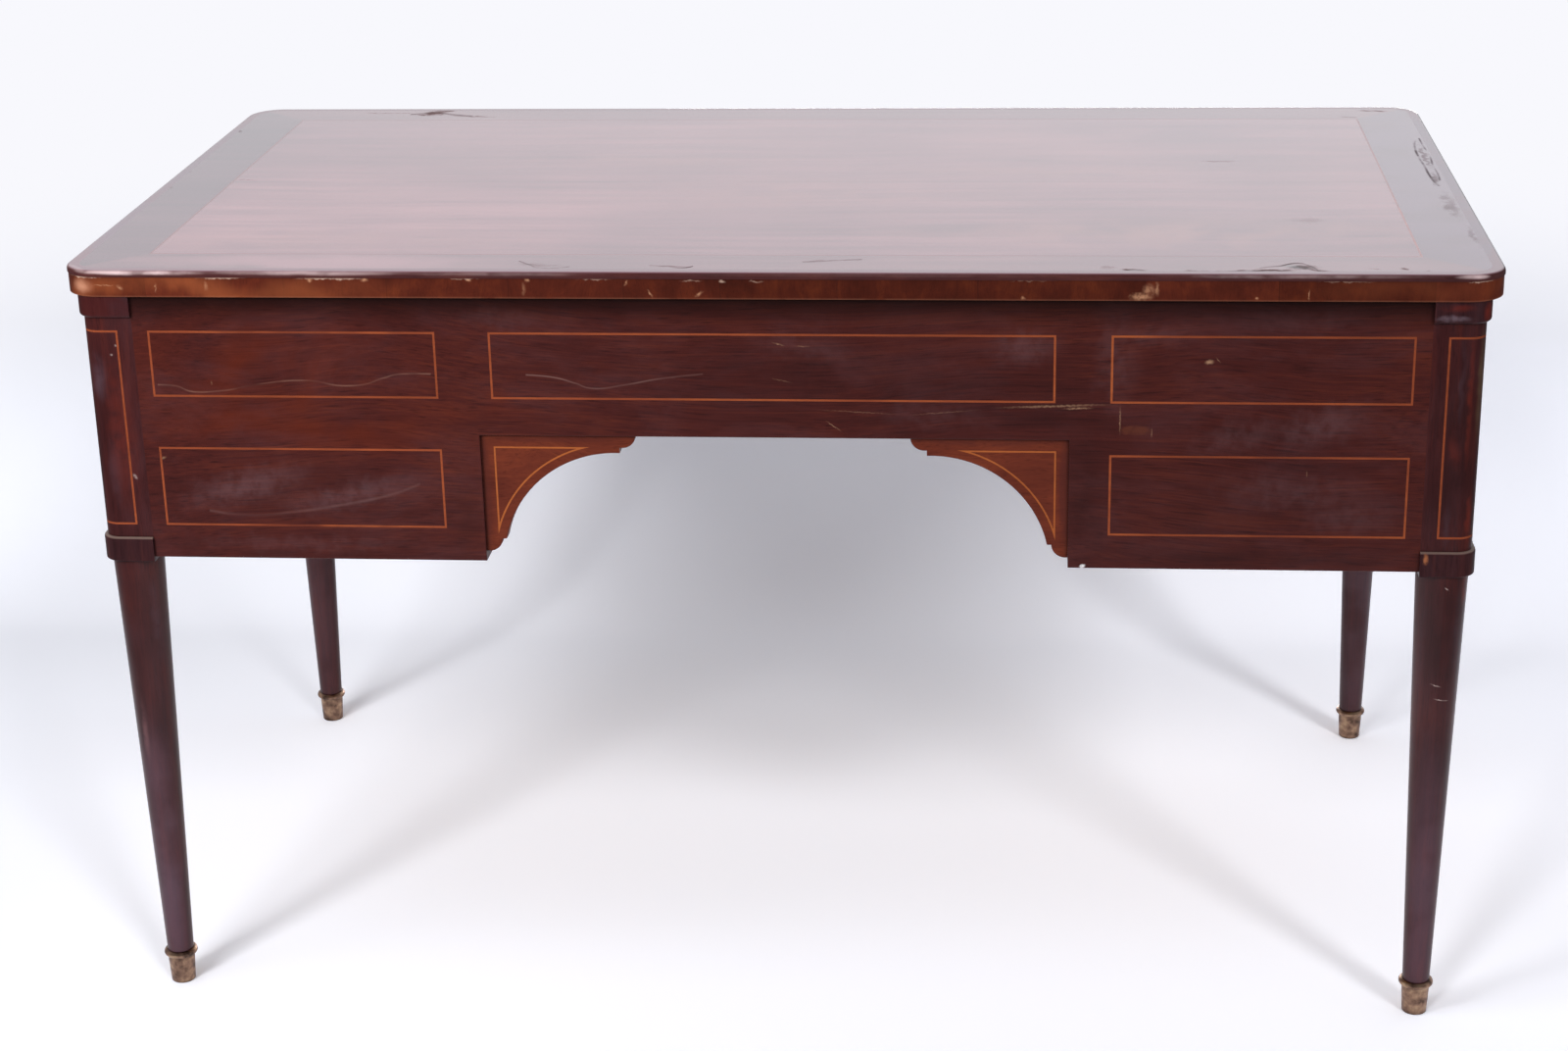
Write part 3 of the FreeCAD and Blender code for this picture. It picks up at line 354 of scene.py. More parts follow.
drawers = [body for body in frame["bodies"] if body.startswith("drawer_")]
dress(plainVeneer("mahogany_veneer_ends", "y", (0.6, 0.2, 0.9)), "end_panel_left", "end_panel_right",
      "inner_side_left", "inner_side_right")
dress(plainVeneer("mahogany_veneer_drawer_fronts", "x", (0.9, 0.5, 0.1)),
      *[name + "_front" for name in drawers])
dress(plainVeneer("mahogany_rails", "x", (0.4, 0.8, 0.3)), "front_top_rail", "knee_rail",
      "drawer_dividers")


# Posts and turned legs: solid mahogany, upright grain, darker and cloudier than the veneer

leg = {
    "wood": {
        "along": "z", "start": (0.5, 0.9, 0.2), "wander": 0.4, "sweep": (200, 12),
        "figure": (240, 9), "streaks": (60, 1.8), "pores": (16, 1.1), "cloud": 110,
        "streakShare": 0.4, "cloudShare": 0.8, "spread": 0.45,
        "colours": ("#240D0E", "#371616", "#4C1E18"), "poreColour": "#1C0A0C", "poreDepth": 0.45,
    },
    "veil": {"start": (0.5, 0.3, 0.1), "patch": (30, 30, 120), "colour": "#644C54", "most": 0.08},
    "dirt": {"reach": 12, "strength": 0.75, "colour": "#180B0C"},
    "dots": {"apart": 60, "size": 0.8, "strength": 0.5, "colour": "#A99A98"},
    "bump": 0.15, "finish": {"Roughness": 0.28, "Specular IOR Level": 0.2},
    "collarWood": {"colours": ("#1E0E10", "#2E1719", "#42201E")},
    "collar": {"bump": 0.15, "finish": {"Roughness": 0.35, "Specular IOR Level": 0.08}},
    # wear and a painted highlight on the collar's top arris
    "worn": {"colour": "#8A766C", "low": 0.35, "high": 0.8, "strength": 0.45},
    # painted sheen: pale stripes down the sides of the legs and posts
    "hazes": {"colour": "#5C4E5A", "grit": 18, "ragged": 10, "core": 0.1, "places": [
        (-606, 405, 14, 140, 0, 0.14), (605, 345, 14, 330, 0, 0.16), (640, 400, 14, 150, 0, 0.12),
        (-636, 655, 22, 60, 0, 0.25), (-630, 560, 16, 90, 0, 0.12), (628, 660, 7, 120, 0, 0.1),
        (622, 520, 10, 60, 0, 0.12)]},
    # painted reflection of the pale floor, paler towards the foot of each leg
    "feet": {"colour": "#80687A", "grit": 60, "ragged": 10, "core": 0.3, "places": [
        (-624, 110, 90, 460, 0, 0.22), (624, 110, 90, 460, 0, 0.18)]},
    "farFeet": {"colour": "#7C6674", "grit": 60, "ragged": 10, "core": 0.3, "places": [
        (-624, 200, 90, 560, 0, 0.08), (624, 200, 90, 560, 0, 0.16)]},
    # painted highlight: a pink stripe low on the left front leg
    "rosy": {"colour": "#7A5456", "grit": 18, "ragged": 6, "core": 0.1, "places": [
        (-630, 285, 9, 90, 0, 0.35)]},
    # painted reflection: an olive stripe on the right post
    "olive": {"colour": "#544330", "grit": 20, "ragged": 4, "core": 0.2, "places": [
        (645, 655, 9, 140, 0, 0.6)]},
    # painted shade darkens the right post most and the left post a little; the leg tops are also darker
    "dark": {"colour": "#1A0B0C", "grit": 30, "ragged": 12, "core": 0.1, "places": [
        (628, 600, 70, 300, 0, 0.5), (-628, 600, 70, 260, 0, 0.12), (-624, 410, 80, 180, 0, 0.25),
        (624, 410, 80, 180, 0, 0.34)]},
    "red": {"colour": "#6E2618", "grit": 12, "ragged": 6, "core": 0.1, "places": [
        (645, 455, 10, 60, 0, 0.6), (636, 640, 8, 180, 0, 0.36), (625, 590, 16, 44, 10, 0.2),
        (642, 525, 8, 80, 0, 0.45), (-620, 600, 40, 200, 0, 0.25)]},
    "scratches": {"colour": "#A8948E", "grit": 3, "ragged": 1.5, "core": 0.2, "places": [
        (-622, 677, 4, 3, 0, 0.7), (-617, 686, 3, 3, 0, 0.6), (-611, 556, 4, 9, 30, 0.5),
        (622, 358.5, 13, 1.6, -16, 0.7), (628, 343.5, 18, 1.6, -11, 0.8), (626, 457.5, 6, 1.8, -34, 0.7)]},
    "chip": {"colour": "#8E5638", "grit": 3, "ragged": 3, "core": 0.3, "places": [
        (604.5, 488, 7, 14, 0, 0.9)]},
    "capRed": {"colour": "#6E2418", "grit": 12, "ragged": 5, "core": 0.2, "places": [
        (620, 729, 42, 10, 0, 0.35), (648, 724, 12, 26, 0, 0.6)]},
    "capDark": {"colour": "#3E1210", "grit": 30, "ragged": 4, "core": 0.6, "places": [
        (-625, 722, 70, 40, 0, 0.5)]},
    # painted highlight: a grey streak on the right cap block
    "capGrey": {"colour": "#6A5A62", "grit": 8, "ragged": 4, "core": 0.2, "places": [
        (616, 719, 44, 8, 0, 0.55)]},
}
legFace = {"flat": 1, "at": -350, "depth": 26}
farLegFace = {"flat": 1, "at": 312, "depth": 26}


def legMahogany():
    mat = newMaterial("mahogany_turned_polished")  # purple brown, upright grain, hazy shellac, with painted sheen on the sides and a painted floor reflection low down
    colour, pits = woodGrain(mat, leg["wood"])
    colour = layOn(mat, colour, (bloom, leg["veil"]))
    colour = layMarks(mat, colour, farLegFace, leg, "farFeet")
    colour = layMarks(mat, colour, legFace, leg, "feet", "dark", "hazes", "rosy", "red", "olive", "scratches")
    colour = layOn(mat, colour, (specks, leg["dots"]), (cornerShadeAndSoil, leg["dirt"]))
    return finishWood(mat, colour, pits, leg)


def rubbedAndLitTop(mat, rub):  # wear with a painted highlight: pale where the moulding faces up
    cover = {"Value": facingUp(mat), "From Min": rub["low"], "From Max": rub["high"]}
    return addNode(mat, "MapRange", {**cover, "To Max": rub["strength"]})


def collarMahogany():
    mat = newMaterial("mahogany_moulding_worn")  # the top arris is rubbed pale and grey, partly wear and partly a painted highlight
    colour, pits = woodGrain(mat, {**leg["wood"], **leg["collarWood"]})
    colour = layOn(mat, colour, (bloom, leg["veil"]), (cornerShadeAndSoil, leg["dirt"]), (rubbedAndLitTop, leg["worn"]))
    colour = layMarks(mat, colour, legFace, leg, "capDark", "capRed", "capGrey", "chip")
    return finishWood(mat, colour, pits, leg["collar"])


corners = ["back_left", "back_right", "front_left", "front_right"]
dress(legMahogany(), *["leg_" + corner for corner in corners])
dress(collarMahogany(), "post_collars", "post_cap_blocks")


# Brackets: fresher, more orange mahogany

bracket = {
    "wood": {
        "along": "x", "start": (0.1, 0.4, 0.6), "wander": 0.4, "sweep": (90, 30),
        "figure": (120, 10), "streaks": (40, 1.8), "pores": (12, 1.1), "cloud": 60,
        "streakShare": 0.4, "cloudShare": 0.7, "spread": 0.5,
        "colours": ("#401914", "#5A271A", "#71341F"), "poreColour": "#32120C", "poreDepth": 0.4,
    },
    "dirt": {"reach": 10, "strength": 0.9, "colour": "#1B0C0B"},
    "bump": 0.12, "finish": {"Roughness": 0.36, "Specular IOR Level": 0.08},
    # painted shade: darker along the bracket's sides by the pedestals and under the apron
    "dull": {"colour": "#4A211C", "grit": 20, "ragged": 4, "core": 0.5, "places": [
        (-274, 545, 18, 140, 0, 0.6), (274, 545, 20, 140, 0, 0.75), (-200, 597, 170, 12, 0, 0.4),
        (200, 597, 170, 12, 0, 0.5)]},
}
bracketFace = {"flat": 1, "at": -347, "depth": 12}


def bracketMahogany():
    mat = newMaterial("mahogany_orange_polished")  # brown orange with little bloom
    colour, pits = woodGrain(mat, bracket["wood"])
    colour = layMarks(mat, colour, bracketFace, bracket, "dull")
    colour = layOn(mat, colour, (cornerShadeAndSoil, bracket["dirt"]))
    return finishWood(mat, colour, pits, bracket)


dress(bracketMahogany(), "bracket_left", "bracket_right")


# Edge of the top: crossbanded strips with upright grain, and the rounded lip above

edge = {
    "wood": {
        "along": "z", "start": (0.7, 0.1, 0.3), "wander": 0.6, "sweep": (60, 20),
        "figure": (26, 20), "streaks": (22, 3), "pores": (9, 1.2), "cloud": 46,
        "streakShare": 0.35, "cloudShare": 1.0, "spread": 0.62,
        "colours": ("#2C100B", "#4A1D12", "#682E17"), "poreColour": "#2A0F0A", "poreDepth": 0.25,
    },
    "strip": {"length": 120, "tones": (0.72, 1.15)},  # each strip is darker or lighter than the next
    "joint": {"width": 0.6, "strength": 0.6, "colour": "#2A120D"},
    "bump": 0.15, "finish": {"Roughness": 0.3, "Specular IOR Level": 0.1},
    "warm": {"colour": "#8C4A2A", "grit": 60, "ragged": 50, "places": [
        (-590, 744, 420, 40, 0, 0.72), (-440, 744, 260, 40, 0, 0.4), (590, 744, 260, 40, 0, 0.2)]},
    "dirt": {"reach": 8, "strength": 0.7, "colour": "#1E0D0A"},
    "chips": {"colour": "#A97A5C", "grit": 4, "ragged": 5, "places": [
        (338, 739, 28, 10, 0, 0.9), (345, 745, 16, 16, 0, 0.6), (352, 746, 5, 18, 0, 0.6),
        (487, 741, 2.2, 14, 0, 0.8), (441, 738, 4, 4, 0, 0.7), (-108, 740, 3, 12, 25, 0.7),
        (-63, 740, 12, 4, 35, 0.7), (-571, 744, 2.4, 14, 0, 0.5), (-225, 744, 5, 16, 0, 0.35),
        (-523, 746, 6, 12, 0, 0.4), (-620, 746, 26, 2.5, 0, 0.6), (-605, 744, 9, 6, -40, 0.6),
        (-425, 752, 8, 6, 0, 0.9), (-373, 752, 9, 5, 0, 0.9), (-276, 752, 7, 4, 0, 0.9),
        (-221, 752, 7, 4, 0, 0.8), (-130, 750, 3, 9, -30, 0.6), (232, 737, 6, 4, 0, 0.6)]},
    # pale wear along the band's top arris, with painted highlights at both corners
    "worn": {"colour": "#B49684", "grit": 5, "ragged": 5, "core": 0.3, "places": [
        (-508, 753.5, 52, 3, 0, 0.8), (-404, 753.5, 80, 3, 0, 0.85), (-280, 753.5, 34, 2.4, 0, 0.6),
        (-160, 753.5, 40, 2, 0, 0.4), (-42, 752, 8, 3, 0, 0.6), (-70, 752.5, 24, 2, 0, 0.35),
        (-10, 752, 16, 2, 0, 0.35), (240, 753.5, 50, 2, 0, 0.2), (520, 753.5, 60, 2, 0, 0.35),
        (-640, 753.5, 44, 2.6, 0, 0.9), (640, 753.5, 30, 2.4, 0, 0.85)]},
    # painted highlight on the band's left corner
    "rubbed": {"colour": "#C48E72", "grit": 20, "ragged": 6, "places": [(-642, 745, 30, 20, 0, 0.6)]},
    "arris": {"axis": 2, "at": 735, "width": 1.8, "strength": 0.26, "breaks": 40, "bare": 0.36,
              "colour": "#8E5F49"},
    "lipWood": {"along": "x", "figure": (300, 8), "streaks": (60, 1.8),
                "colours": ("#2C1314", "#3E1C1C", "#512823")},
    "lip": {"faded": "#7C5660", "round": 0.72, "flat": 0.97,  # how far the surface faces up
            "shine": {"Coat Weight": (0, 1), "Roughness": (0.8, 0.3)},  # on the round and on the flat
            "bump": 0.1, "finish": {"Specular IOR Level": 0.3, "Coat Roughness": 0.1}},
    # painted highlights along the lip's round, strongest at the corners
    "haze": {"colour": "#E0C6C6", "grit": 25, "ragged": 2, "core": 0.1, "places": [
        (-590, -356.5, 170, 8, 0, 0.75), (-430, -356.5, 260, 7, 0, 0.36), (-650, -344, 52, 9, -45, 0.7),
        (-250, -357, 240, 5, 0, 0.12), (632, -356, 44, 8, 8, 0.7), (480, -357, 300, 6, 0, 0.2),
        (100, -357, 500, 5, 0, 0.03)]},
    "greyEnds": {"colour": "#76606E", "grit": 60, "ragged": 2, "core": 0.9, "places": [
        (654, 0, 34, 740, 0, 1), (-654, 0, 34, 740, 0, 0.75)]},
    # painted shade: a dark line along the lip's right end
    "rim": {"axis": 0, "at": 664, "width": 4, "strength": 0.95, "breaks": 300, "bare": 0.2,
            "colour": "#1E1012"},
}
edgeFace = {"flat": 1, "at": -357, "depth": 24}
lipFace = {"flat": 2, "at": 758.4, "depth": 3}


def edgeBanding():
    mat = newMaterial("mahogany_crossbanding_edge")  # orange brown, tone steps from strip to strip
    colour, pits = woodGrain(mat, edge["wood"])
    axes = ownPlace(mat)[1]
    along = addNode(mat, "Math", {0: axes[0], 1: axes[1]}, operation="ADD")
    length = edge["strip"]["length"]
    darkest, lightest = edge["strip"]["tones"]
    strips = {"W": along, "Scale": 1 / (length * mm)}
    cells = addNode(mat, "TexVoronoi", strips, voronoi_dimensions="1D").outputs["Color"]
    shade = addNode(mat, "SeparateColor", {0: cells})
    shade = addNode(mat, "MapRange", {"Value": shade, "To Min": darkest, "To Max": lightest})
    colour = addNode(mat, "VectorMath", {0: colour, 3: shade}, operation="SCALE")
    gaps = addNode(mat, "TexVoronoi", strips, voronoi_dimensions="1D", feature="DISTANCE_TO_EDGE")
    joint = edge["joint"]
    seam = {"Value": gaps.outputs["Distance"], "From Min": joint["width"] / length, "From Max": 0,
            "To Max": joint["strength"]}
    seam = addNode(mat, "MapRange", seam)
    inks = {0: seam, 6: colour, 7: linear(joint["colour"])}
    colour = addNode(mat, "Mix", inks, data_type="RGBA").outputs[2]
    colour = layMarks(mat, colour, edgeFace, edge, "warm", "rubbed", "worn", "chips")
    colour = layOn(mat, colour, (cornerShadeAndSoil, edge["dirt"]), (thinLine, edge["arris"]))
    return finishWood(mat, colour, pits, edge)


def lipMahogany():
    mat = newMaterial("mahogany_lip_polished")  # faded on top as the borders are, dark round the edge
    lip = edge["lip"]
    colour, pits = woodGrain(mat, {**edge["wood"], **edge["lipWood"]})
    colour = layOn(mat, colour, (cornerShadeAndSoil, edge["dirt"]))
    level = {"Value": facingUp(mat), "From Min": lip["round"], "From Max": lip["flat"]}
    level = addNode(mat, "MapRange", level)
    flat = layMarks(mat, linear(lip["faded"]), lipFace, edge, "greyEnds")
    colour = addNode(mat, "Mix", {0: level, 6: colour, 7: flat}, data_type="RGBA").outputs[2]
    colour = layOn(mat, colour, (thinLine, edge["rim"]))
    colour = layMarks(mat, colour, lipFace, edge, "haze")  # painted highlight along the lip's round
    return finishWood(mat, colour, pits, lip, level)


dress(edgeBanding(), "top_edge_band")
dress(lipMahogany(), "top_edge_lip")


# Top: high gloss over pink brown mahogany, dull and brown where the polish is lost

topFace = {"flat": 2, "at": 760, "depth": 12}
top = {
    "field": {
        "along": "x", "start": (0.2, 0.6, 0.9), "wander": 0.5, "sweep": (420, 40),
        "figure": (620, 38), "streaks": (330, 9), "pores": (60, 3), "cloud": 260,
        "streakShare": 1.0, "cloudShare": 0.9, "spread": 0.4,
        "colours": ("#744D57", "#93636C", "#AE787E"), "poreColour": "#55343A", "poreDepth": 0.3,
    },
    "long": {"colours": ("#6A4850", "#825860", "#98686E")},
    "ends": {"colours": ("#543C45", "#684852", "#7A5860")},
    "mitre": ((0, 594, 70), (1, 295, 62.5)),  # axis, inner edge and width of the border
    "shine": {"Coat Weight": (1, 0.05), "Roughness": (0.2, 0.9)},  # where the polish is whole and lost
    "bump": 0.05, "finish": {"Coat Roughness": 0.1},
    "rosy": {"colour": "#AC7880", "grit": 60, "ragged": 30, "core": 0.3, "places": [
        (-430, -325, 440, 80, 0, 0.7)]},
    "cool": {"colour": "#7C6276", "grit": 60, "ragged": 6, "core": 0.7, "places": [
        (640, 0, 150, 900, 0, 0.6)]},
    "dim": {"colour": "#7E5A66", "grit": 70, "ragged": 60, "places": [
        (430, 220, 460, 190, 0, 0.45), (-450, 220, 360, 170, 0, 0.3)]},
    "faded": {"colour": "#B57C76", "grit": 70, "ragged": 60, "places": [
        (0, -60, 620, 240, 0, 0.3), (-430, -240, 760, 170, 0, 0.25), (380, -210, 800, 170, 0, 0.5),
        (-150, 90, 600, 90, 0, 0.3), (260, 40, 500, 70, 0, 0.3)]},
    "seam": {"axis": 1, "at": -4, "width": 2.6, "strength": 0.75, "breaks": 90, "bare": 0.42,
             "colour": "#4A2C32"},
    "stains": {"colour": "#5A3A34", "grit": 14, "ragged": 18, "core": 0.3, "places": [
        (-440, 346, 38, 18, 0, 1), (-446, 332, 34, 34, 0, 0.9), (-462, 322, 24, 14, 0, 0.7),
        (-500, 332, 90, 6, -3, 0.4), (-405, 316, 80, 7, -10, 0.5), (-618, 353, 80, 5, 0, 0.6),
        (616, 335, 40, 10, -10, 0.7), (585, 303, 26, 5, 0, 0.5), (645, 110, 9, 150, 0, 0.4),
        (643, 10, 10, 70, 0, 0.5), (644, -100, 16, 130, 0, 0.3), (650, -220, 10, 100, 0, 0.25),
        (440, -344, 130, 13, 4, 0.9), (395, -347, 80, 6, 0, 0.8), (500, -344, 34, 8, -16, 0.8),
        (484, -334, 34, 26, 0, 0.65), (331, -343, 30, 9, 0, 1), (309, -335, 20, 14, 0, 0.25),
        (571, -336, 13, 10, 0, 1), (593, -343, 5, 4, 0, 0.8), (-90, -336, 40, 6, 4, 0.4),
        (545, -336, 12, 6, 0, 0.6), (-212, -332, 50, 12, -10, 0.25), (47, -314, 40, 6, 4, 0.35),
        (431, 88, 46, 6, 0, 0.35), (-653, 237, 14, 12, 0, 0.6), (-655, -30, 8, 20, 0, 0.6),
        (-655, 40, 8, 16, 0, 0.5), (-580, 5, 36, 4, 0, 0.4), (500, -160, 50, 22, 0, 0.15)]},
    "cracks": [
        {"axes": (1, 0), "width": 2.2, "strength": 0.85, "breaks": 30,
         "points": [(188, 645), (147, 639), (106, 638), (66, 639), (27, 639), (-10, 641), (-24, 645)]},
        {"axes": (1, 0), "width": 1.8, "strength": 0.7, "breaks": 24,
         "points": [(199, 649), (157, 649), (116, 650), (66, 648), (27, 648), (-1, 646)]},
        {"axes": (0, 1), "width": 3.4, "strength": 0.95, "breaks": 40,
         "points": [(382, -352), (398, -350), (414, -347), (428, -345), (438, -341), (450, -332),
                    (462, -328), (475, -319), (480, -318), (488, -325), (493, -334), (498, -346),
                    (507, -350)]},
        {"axes": (0, 1), "width": 3, "strength": 0.8, "breaks": 30,
         "points": [(466, -334), (476, -335), (484, -338), (494, -350)]},
        {"axes": (0, 1), "width": 3, "strength": 0.6, "breaks": 16,
         "points": [(-236, -317), (-223, -331), (-211, -342), (-184, -337)]},
        {"axes": (0, 1), "width": 3.4, "strength": 0.9, "breaks": 30,
         "points": [(-112, -332), (-95, -335), (-82, -340), (-70, -333)]},
        {"axes": (0, 1), "width": 3, "strength": 0.6, "breaks": 30,
         "points": [(28, -318), (45, -316), (62, -312), (84, -309)]},
        {"axes": (0, 1), "width": 5, "strength": 0.6, "breaks": 24,
         "points": [(-476, 324), (-462, 330), (-449, 335), (-436, 329), (-420, 322), (-400, 315)]},
    ],
    "crackColour": "#2C1A19",
    "specks": {"colour": "#30191A", "grit": 4, "ragged": 2, "core": 0.2, "places": [
        (-407, 157, 7, 5, 0, 0.7), (-397, -107, 4, 7, 0, 0.7), (-201, -234, 6, 4, 0, 0.6),
        (-613, -86, 6, 5, 0, 0.6), (103, 218, 6, 6, 0, 0.6), (161, 92, 20, 2, -20, 0.5),
        (97, -56, 5, 4, 0, 0.7), (533, -146, 6, 5, 0, 0.6), (331, -344, 28, 7, 0, 0.7),
        (478, -331, 44, 18, -25, 0.9), (440, -345, 90, 8, 5, 0.7), (130, -349, 26, 4, 0, 0.5)]},
}


def polishTop(mat, colour, pits, cracks=()):  # a mirror polish, dull and brown where it is lost
    lost = placeMarks(mat, {**top["stains"], **topFace})
    inks = {0: lost, 6: colour, 7: linear(top["stains"]["colour"])}
    colour = addNode(mat, "Mix", inks, data_type="RGBA").outputs[2]
    for line in cracks:
        crack = wanderingLine(mat, line)
        inks = {0: crack, 6: colour, 7: linear(top["crackColour"])}
        colour = addNode(mat, "Mix", inks, data_type="RGBA").outputs[2]
        lost = addNode(mat, "Math", {0: lost, 1: crack}, operation="MAXIMUM")
    colour = layMarks(mat, colour, topFace, top, "specks")
    return finishWood(mat, colour, pits, top, lost)


def topField():
    mat = newMaterial("mahogany_top_field_polished")  # pink brown with long streaks under the polish
    colour, pits = woodGrain(mat, top["field"])
    colour = layMarks(mat, colour, topFace, top, "dim", "faded")
    colour = layOn(mat, colour, (thinLine, top["seam"]))
    return polishTop(mat, colour, pits)


def topBorder():
    mat = newMaterial("mahogany_top_border_polished")  # like the field on the long sides, greyer at the ends
    colour, pits = woodGrain(mat, {**top["field"], **top["long"], "start": (0.8, 0.3, 0.5)})
    colour = layMarks(mat, colour, topFace, top, "rosy")
    ends = woodGrain(mat, {**top["field"], **top["ends"], "start": (0.1, 0.9, 0.4)})[0]
    ends = layMarks(mat, ends, topFace, top, "cool")
    axes = ownPlace(mat)[1]
    reach = []
    for axis, inner, width in top["mitre"]:
        away = addNode(mat, "Math", {0: axes[axis]}, operation="ABSOLUTE")
        across = {"Value": away, "From Min": inner * mm, "From Max": (inner + width) * mm}
        reach.append(addNode(mat, "MapRange", across, clamp=False))
    atEnd = addNode(mat, "Math", {0: reach[0], 1: reach[1]}, operation="GREATER_THAN")
    colour = addNode(mat, "Mix", {0: atEnd, 6: colour, 7: ends}, data_type="RGBA").outputs[2]
    return polishTop(mat, colour, pits, top["cracks"])


dress(topField(), "top_field_veneer")
dress(topBorder(), "top_crossbanding")


# Stringing: boxwood turned orange by old shellac

boxwood = {
    "wood": {
        "along": "x", "start": (0.3, 0.3, 0.3), "wander": 0.2, "sweep": (100, 5),
        "figure": (50, 9), "streaks": (16, 2), "pores": (8, 1), "cloud": 150,
        "streakShare": 0.3, "cloudShare": 1.6, "spread": 0.75,
        "colours": ("#5A2A18", "#7E3D24", "#A0552C"), "poreColour": "#6A3420", "poreDepth": 0.3,
    },
    "bright": {"colours": ("#743A1E", "#8E4C26", "#A45C2E")},
    "sunk": {"colours": ("#75484E", "#8A5A5E", "#9A686A")},
    "finish": {"Roughness": 0.4, "Specular IOR Level": 0.08},
    "sunkFinish": {"Roughness": 0.3, "Coat Weight": 0.8, "Coat Roughness": 0.1},
    "dull": {"colour": "#52251B", "grit": 60, "ragged": 30, "core": 0.3, "places": [
        (465, 540, 340, 160, 0, 0.6), (-460, 505, 320, 20, 0, 0.85), (460, 626, 320, 14, 0, 0.5),
        (-440, 702, 320, 16, 0, 0.6), (0, 638, 620, 14, 0, 0.3)]},
    "pink": {"colour": "#C4746C", "grit": 40, "ragged": 4, "core": 0.3, "places": [
        (594, -170, 40, 420, 0, 0.6), (594, 120, 40, 500, 0, 0.25)]},
}


def boxwoodLine(name, tint, face, marks, finish):
    mat = newMaterial(name)
    colour = woodGrain(mat, {**boxwood["wood"], **tint})[0]
    colour = layMarks(mat, colour, face, boxwood, marks)
    return finishMaterial(mat, {"Base Color": colour, **boxwood[finish]})


# orange yellow, darker where it is rubbed dirty
dress(boxwoodLine("boxwood_stringing_aged", {}, backFace, "dull", "finish"), "back_stringing",
      "end_stringing", "post_stringing", *[name + "_stringing" for name in drawers])
dress(boxwoodLine("boxwood_stringing_cleaned", boxwood["bright"], backFace, "dull", "finish"),
      "bracket_stringing")
# thin line near the field's tone, pink at the right end
dress(boxwoodLine("stringing_under_top_gloss", boxwood["sunk"], topFace, "pink", "sunkFinish"),
      "top_stringing")


# Brass: cast and turned, browned with age, with brighter patches

brass = {
    "patch": 9, "colours": [(0.3, "#4C3B33"), (0.5, "#886B5A"), (0.75, "#B6987A")],
    "dirt": {"reach": 5, "strength": 0.85, "colour": "#231812"},
    "turned": {"size": (50, 50, 0.7), "depth": 0.1, "strength": 0.2},  # fine rings left by the tool
    "rough": (0.6, 0.25),  # in dark and in bright patches
}


def agedBrass():
    mat = newMaterial("brass_turned_aged")  # brown with pale rubbed patches and a broken shine
    where = addNode(mat, "TexCoord").outputs["Object"]
    patches = addNode(mat, "TexNoise", {"Vector": where, "Scale": 1 / (brass["patch"] * mm), "Detail": 4})
    colour = addNode(mat, "ValToRGB", {"Fac": patches}, brass["colours"])
    colour = layOn(mat, colour, (cornerShadeAndSoil, brass["dirt"]))
    rings = brass["turned"]
    lines = {"Vector": where, "Scale": [1 / (length * mm) for length in rings["size"]]}
    lines = addNode(mat, "Mapping", lines)
    lines = addNode(mat, "TexNoise", {"Vector": lines, "Scale": 1, "Detail": 2})
    bump = {"Strength": rings["strength"], "Distance": rings["depth"] * mm, "Height": lines}
    bump = addNode(mat, "Bump", bump)
    dull, shiny = brass["rough"]
    rough = addNode(mat, "MapRange", {"Value": patches, "To Min": dull, "To Max": shiny})
    return finishMaterial(mat, {"Base Color": colour, "Metallic": 1.0, "Roughness": rough, "Normal": bump})


dress(agedBrass(), *["leg_cap_" + corner for corner in corners], *[name + "_knob" for name in drawers])


# Hidden timber: oak drawer linings and pine carcass strips

oak = {
    "along": "y", "start": (0.4, 0.2, 0.6), "wander": 0.4, "sweep": (300, 30),
    "figure": (300, 12), "streaks": (60, 2), "pores": (20, 1), "cloud": 180,
    "streakShare": 0.4, "cloudShare": 0.6, "spread": 0.5,
    "colours": ("#7E5A38", "#9C7449", "#B58D5E"), "poreColour": "#5C3E26", "poreDepth": 0.5,
}
pine = {**oak, "along": "x", "figure": (400, 18), "poreDepth": 0.15,
        "colours": ("#8A6238", "#AE8554", "#C29C69")}
bare = {"bump": 0.2, "finish": {"Roughness": 0.65, "Specular IOR Level": 0.3}}
lipping = {"from": 340, "wood": {**backPanel["wood"], "start": (0.2, 0.7, 0.5)},  # front strip of the floors
           "bump": 0.15, "finish": {"Roughness": 0.4, "Specular IOR Level": 0.12}}


def bareTimber(name, wood):
    mat = newMaterial(name)  # pale and dull, with open pores
    colour, pits = woodGrain(mat, wood)
    return finishWood(mat, colour, pits, bare)


dress(bareTimber("oak_waxed", oak), *[name + part for name in drawers for part in ("_box", "_bottom")])
dress(bareTimber("pine_bare", pine), "top_core", "top_battens", "drawer_runners", "drawer_stops")


def facedPine():
    mat = newMaterial("pine_with_mahogany_lipping")  # pale board, its front edge red brown like the rails
    colour, pits = woodGrain(mat, pine)
    facing = woodGrain(mat, lipping["wood"])[0]
    away = ownPlace(mat)[1][1]
    atFront = addNode(mat, "Math", {0: away, 1: lipping["from"] * mm}, operation="GREATER_THAN")
    colour = addNode(mat, "Mix", {0: atFront, 6: colour, 7: facing}, data_type="RGBA").outputs[2]
    return finishWood(mat, colour, pits, lipping)


dress(facedPine(), "pedestal_floors")


# Screws: plain steel

steel = {"patch": 2.5, "colours": [(0.3, "#55534F"), (0.7, "#8A8883")],
         "finish": {"Metallic": 1.0, "Roughness": 0.45}}


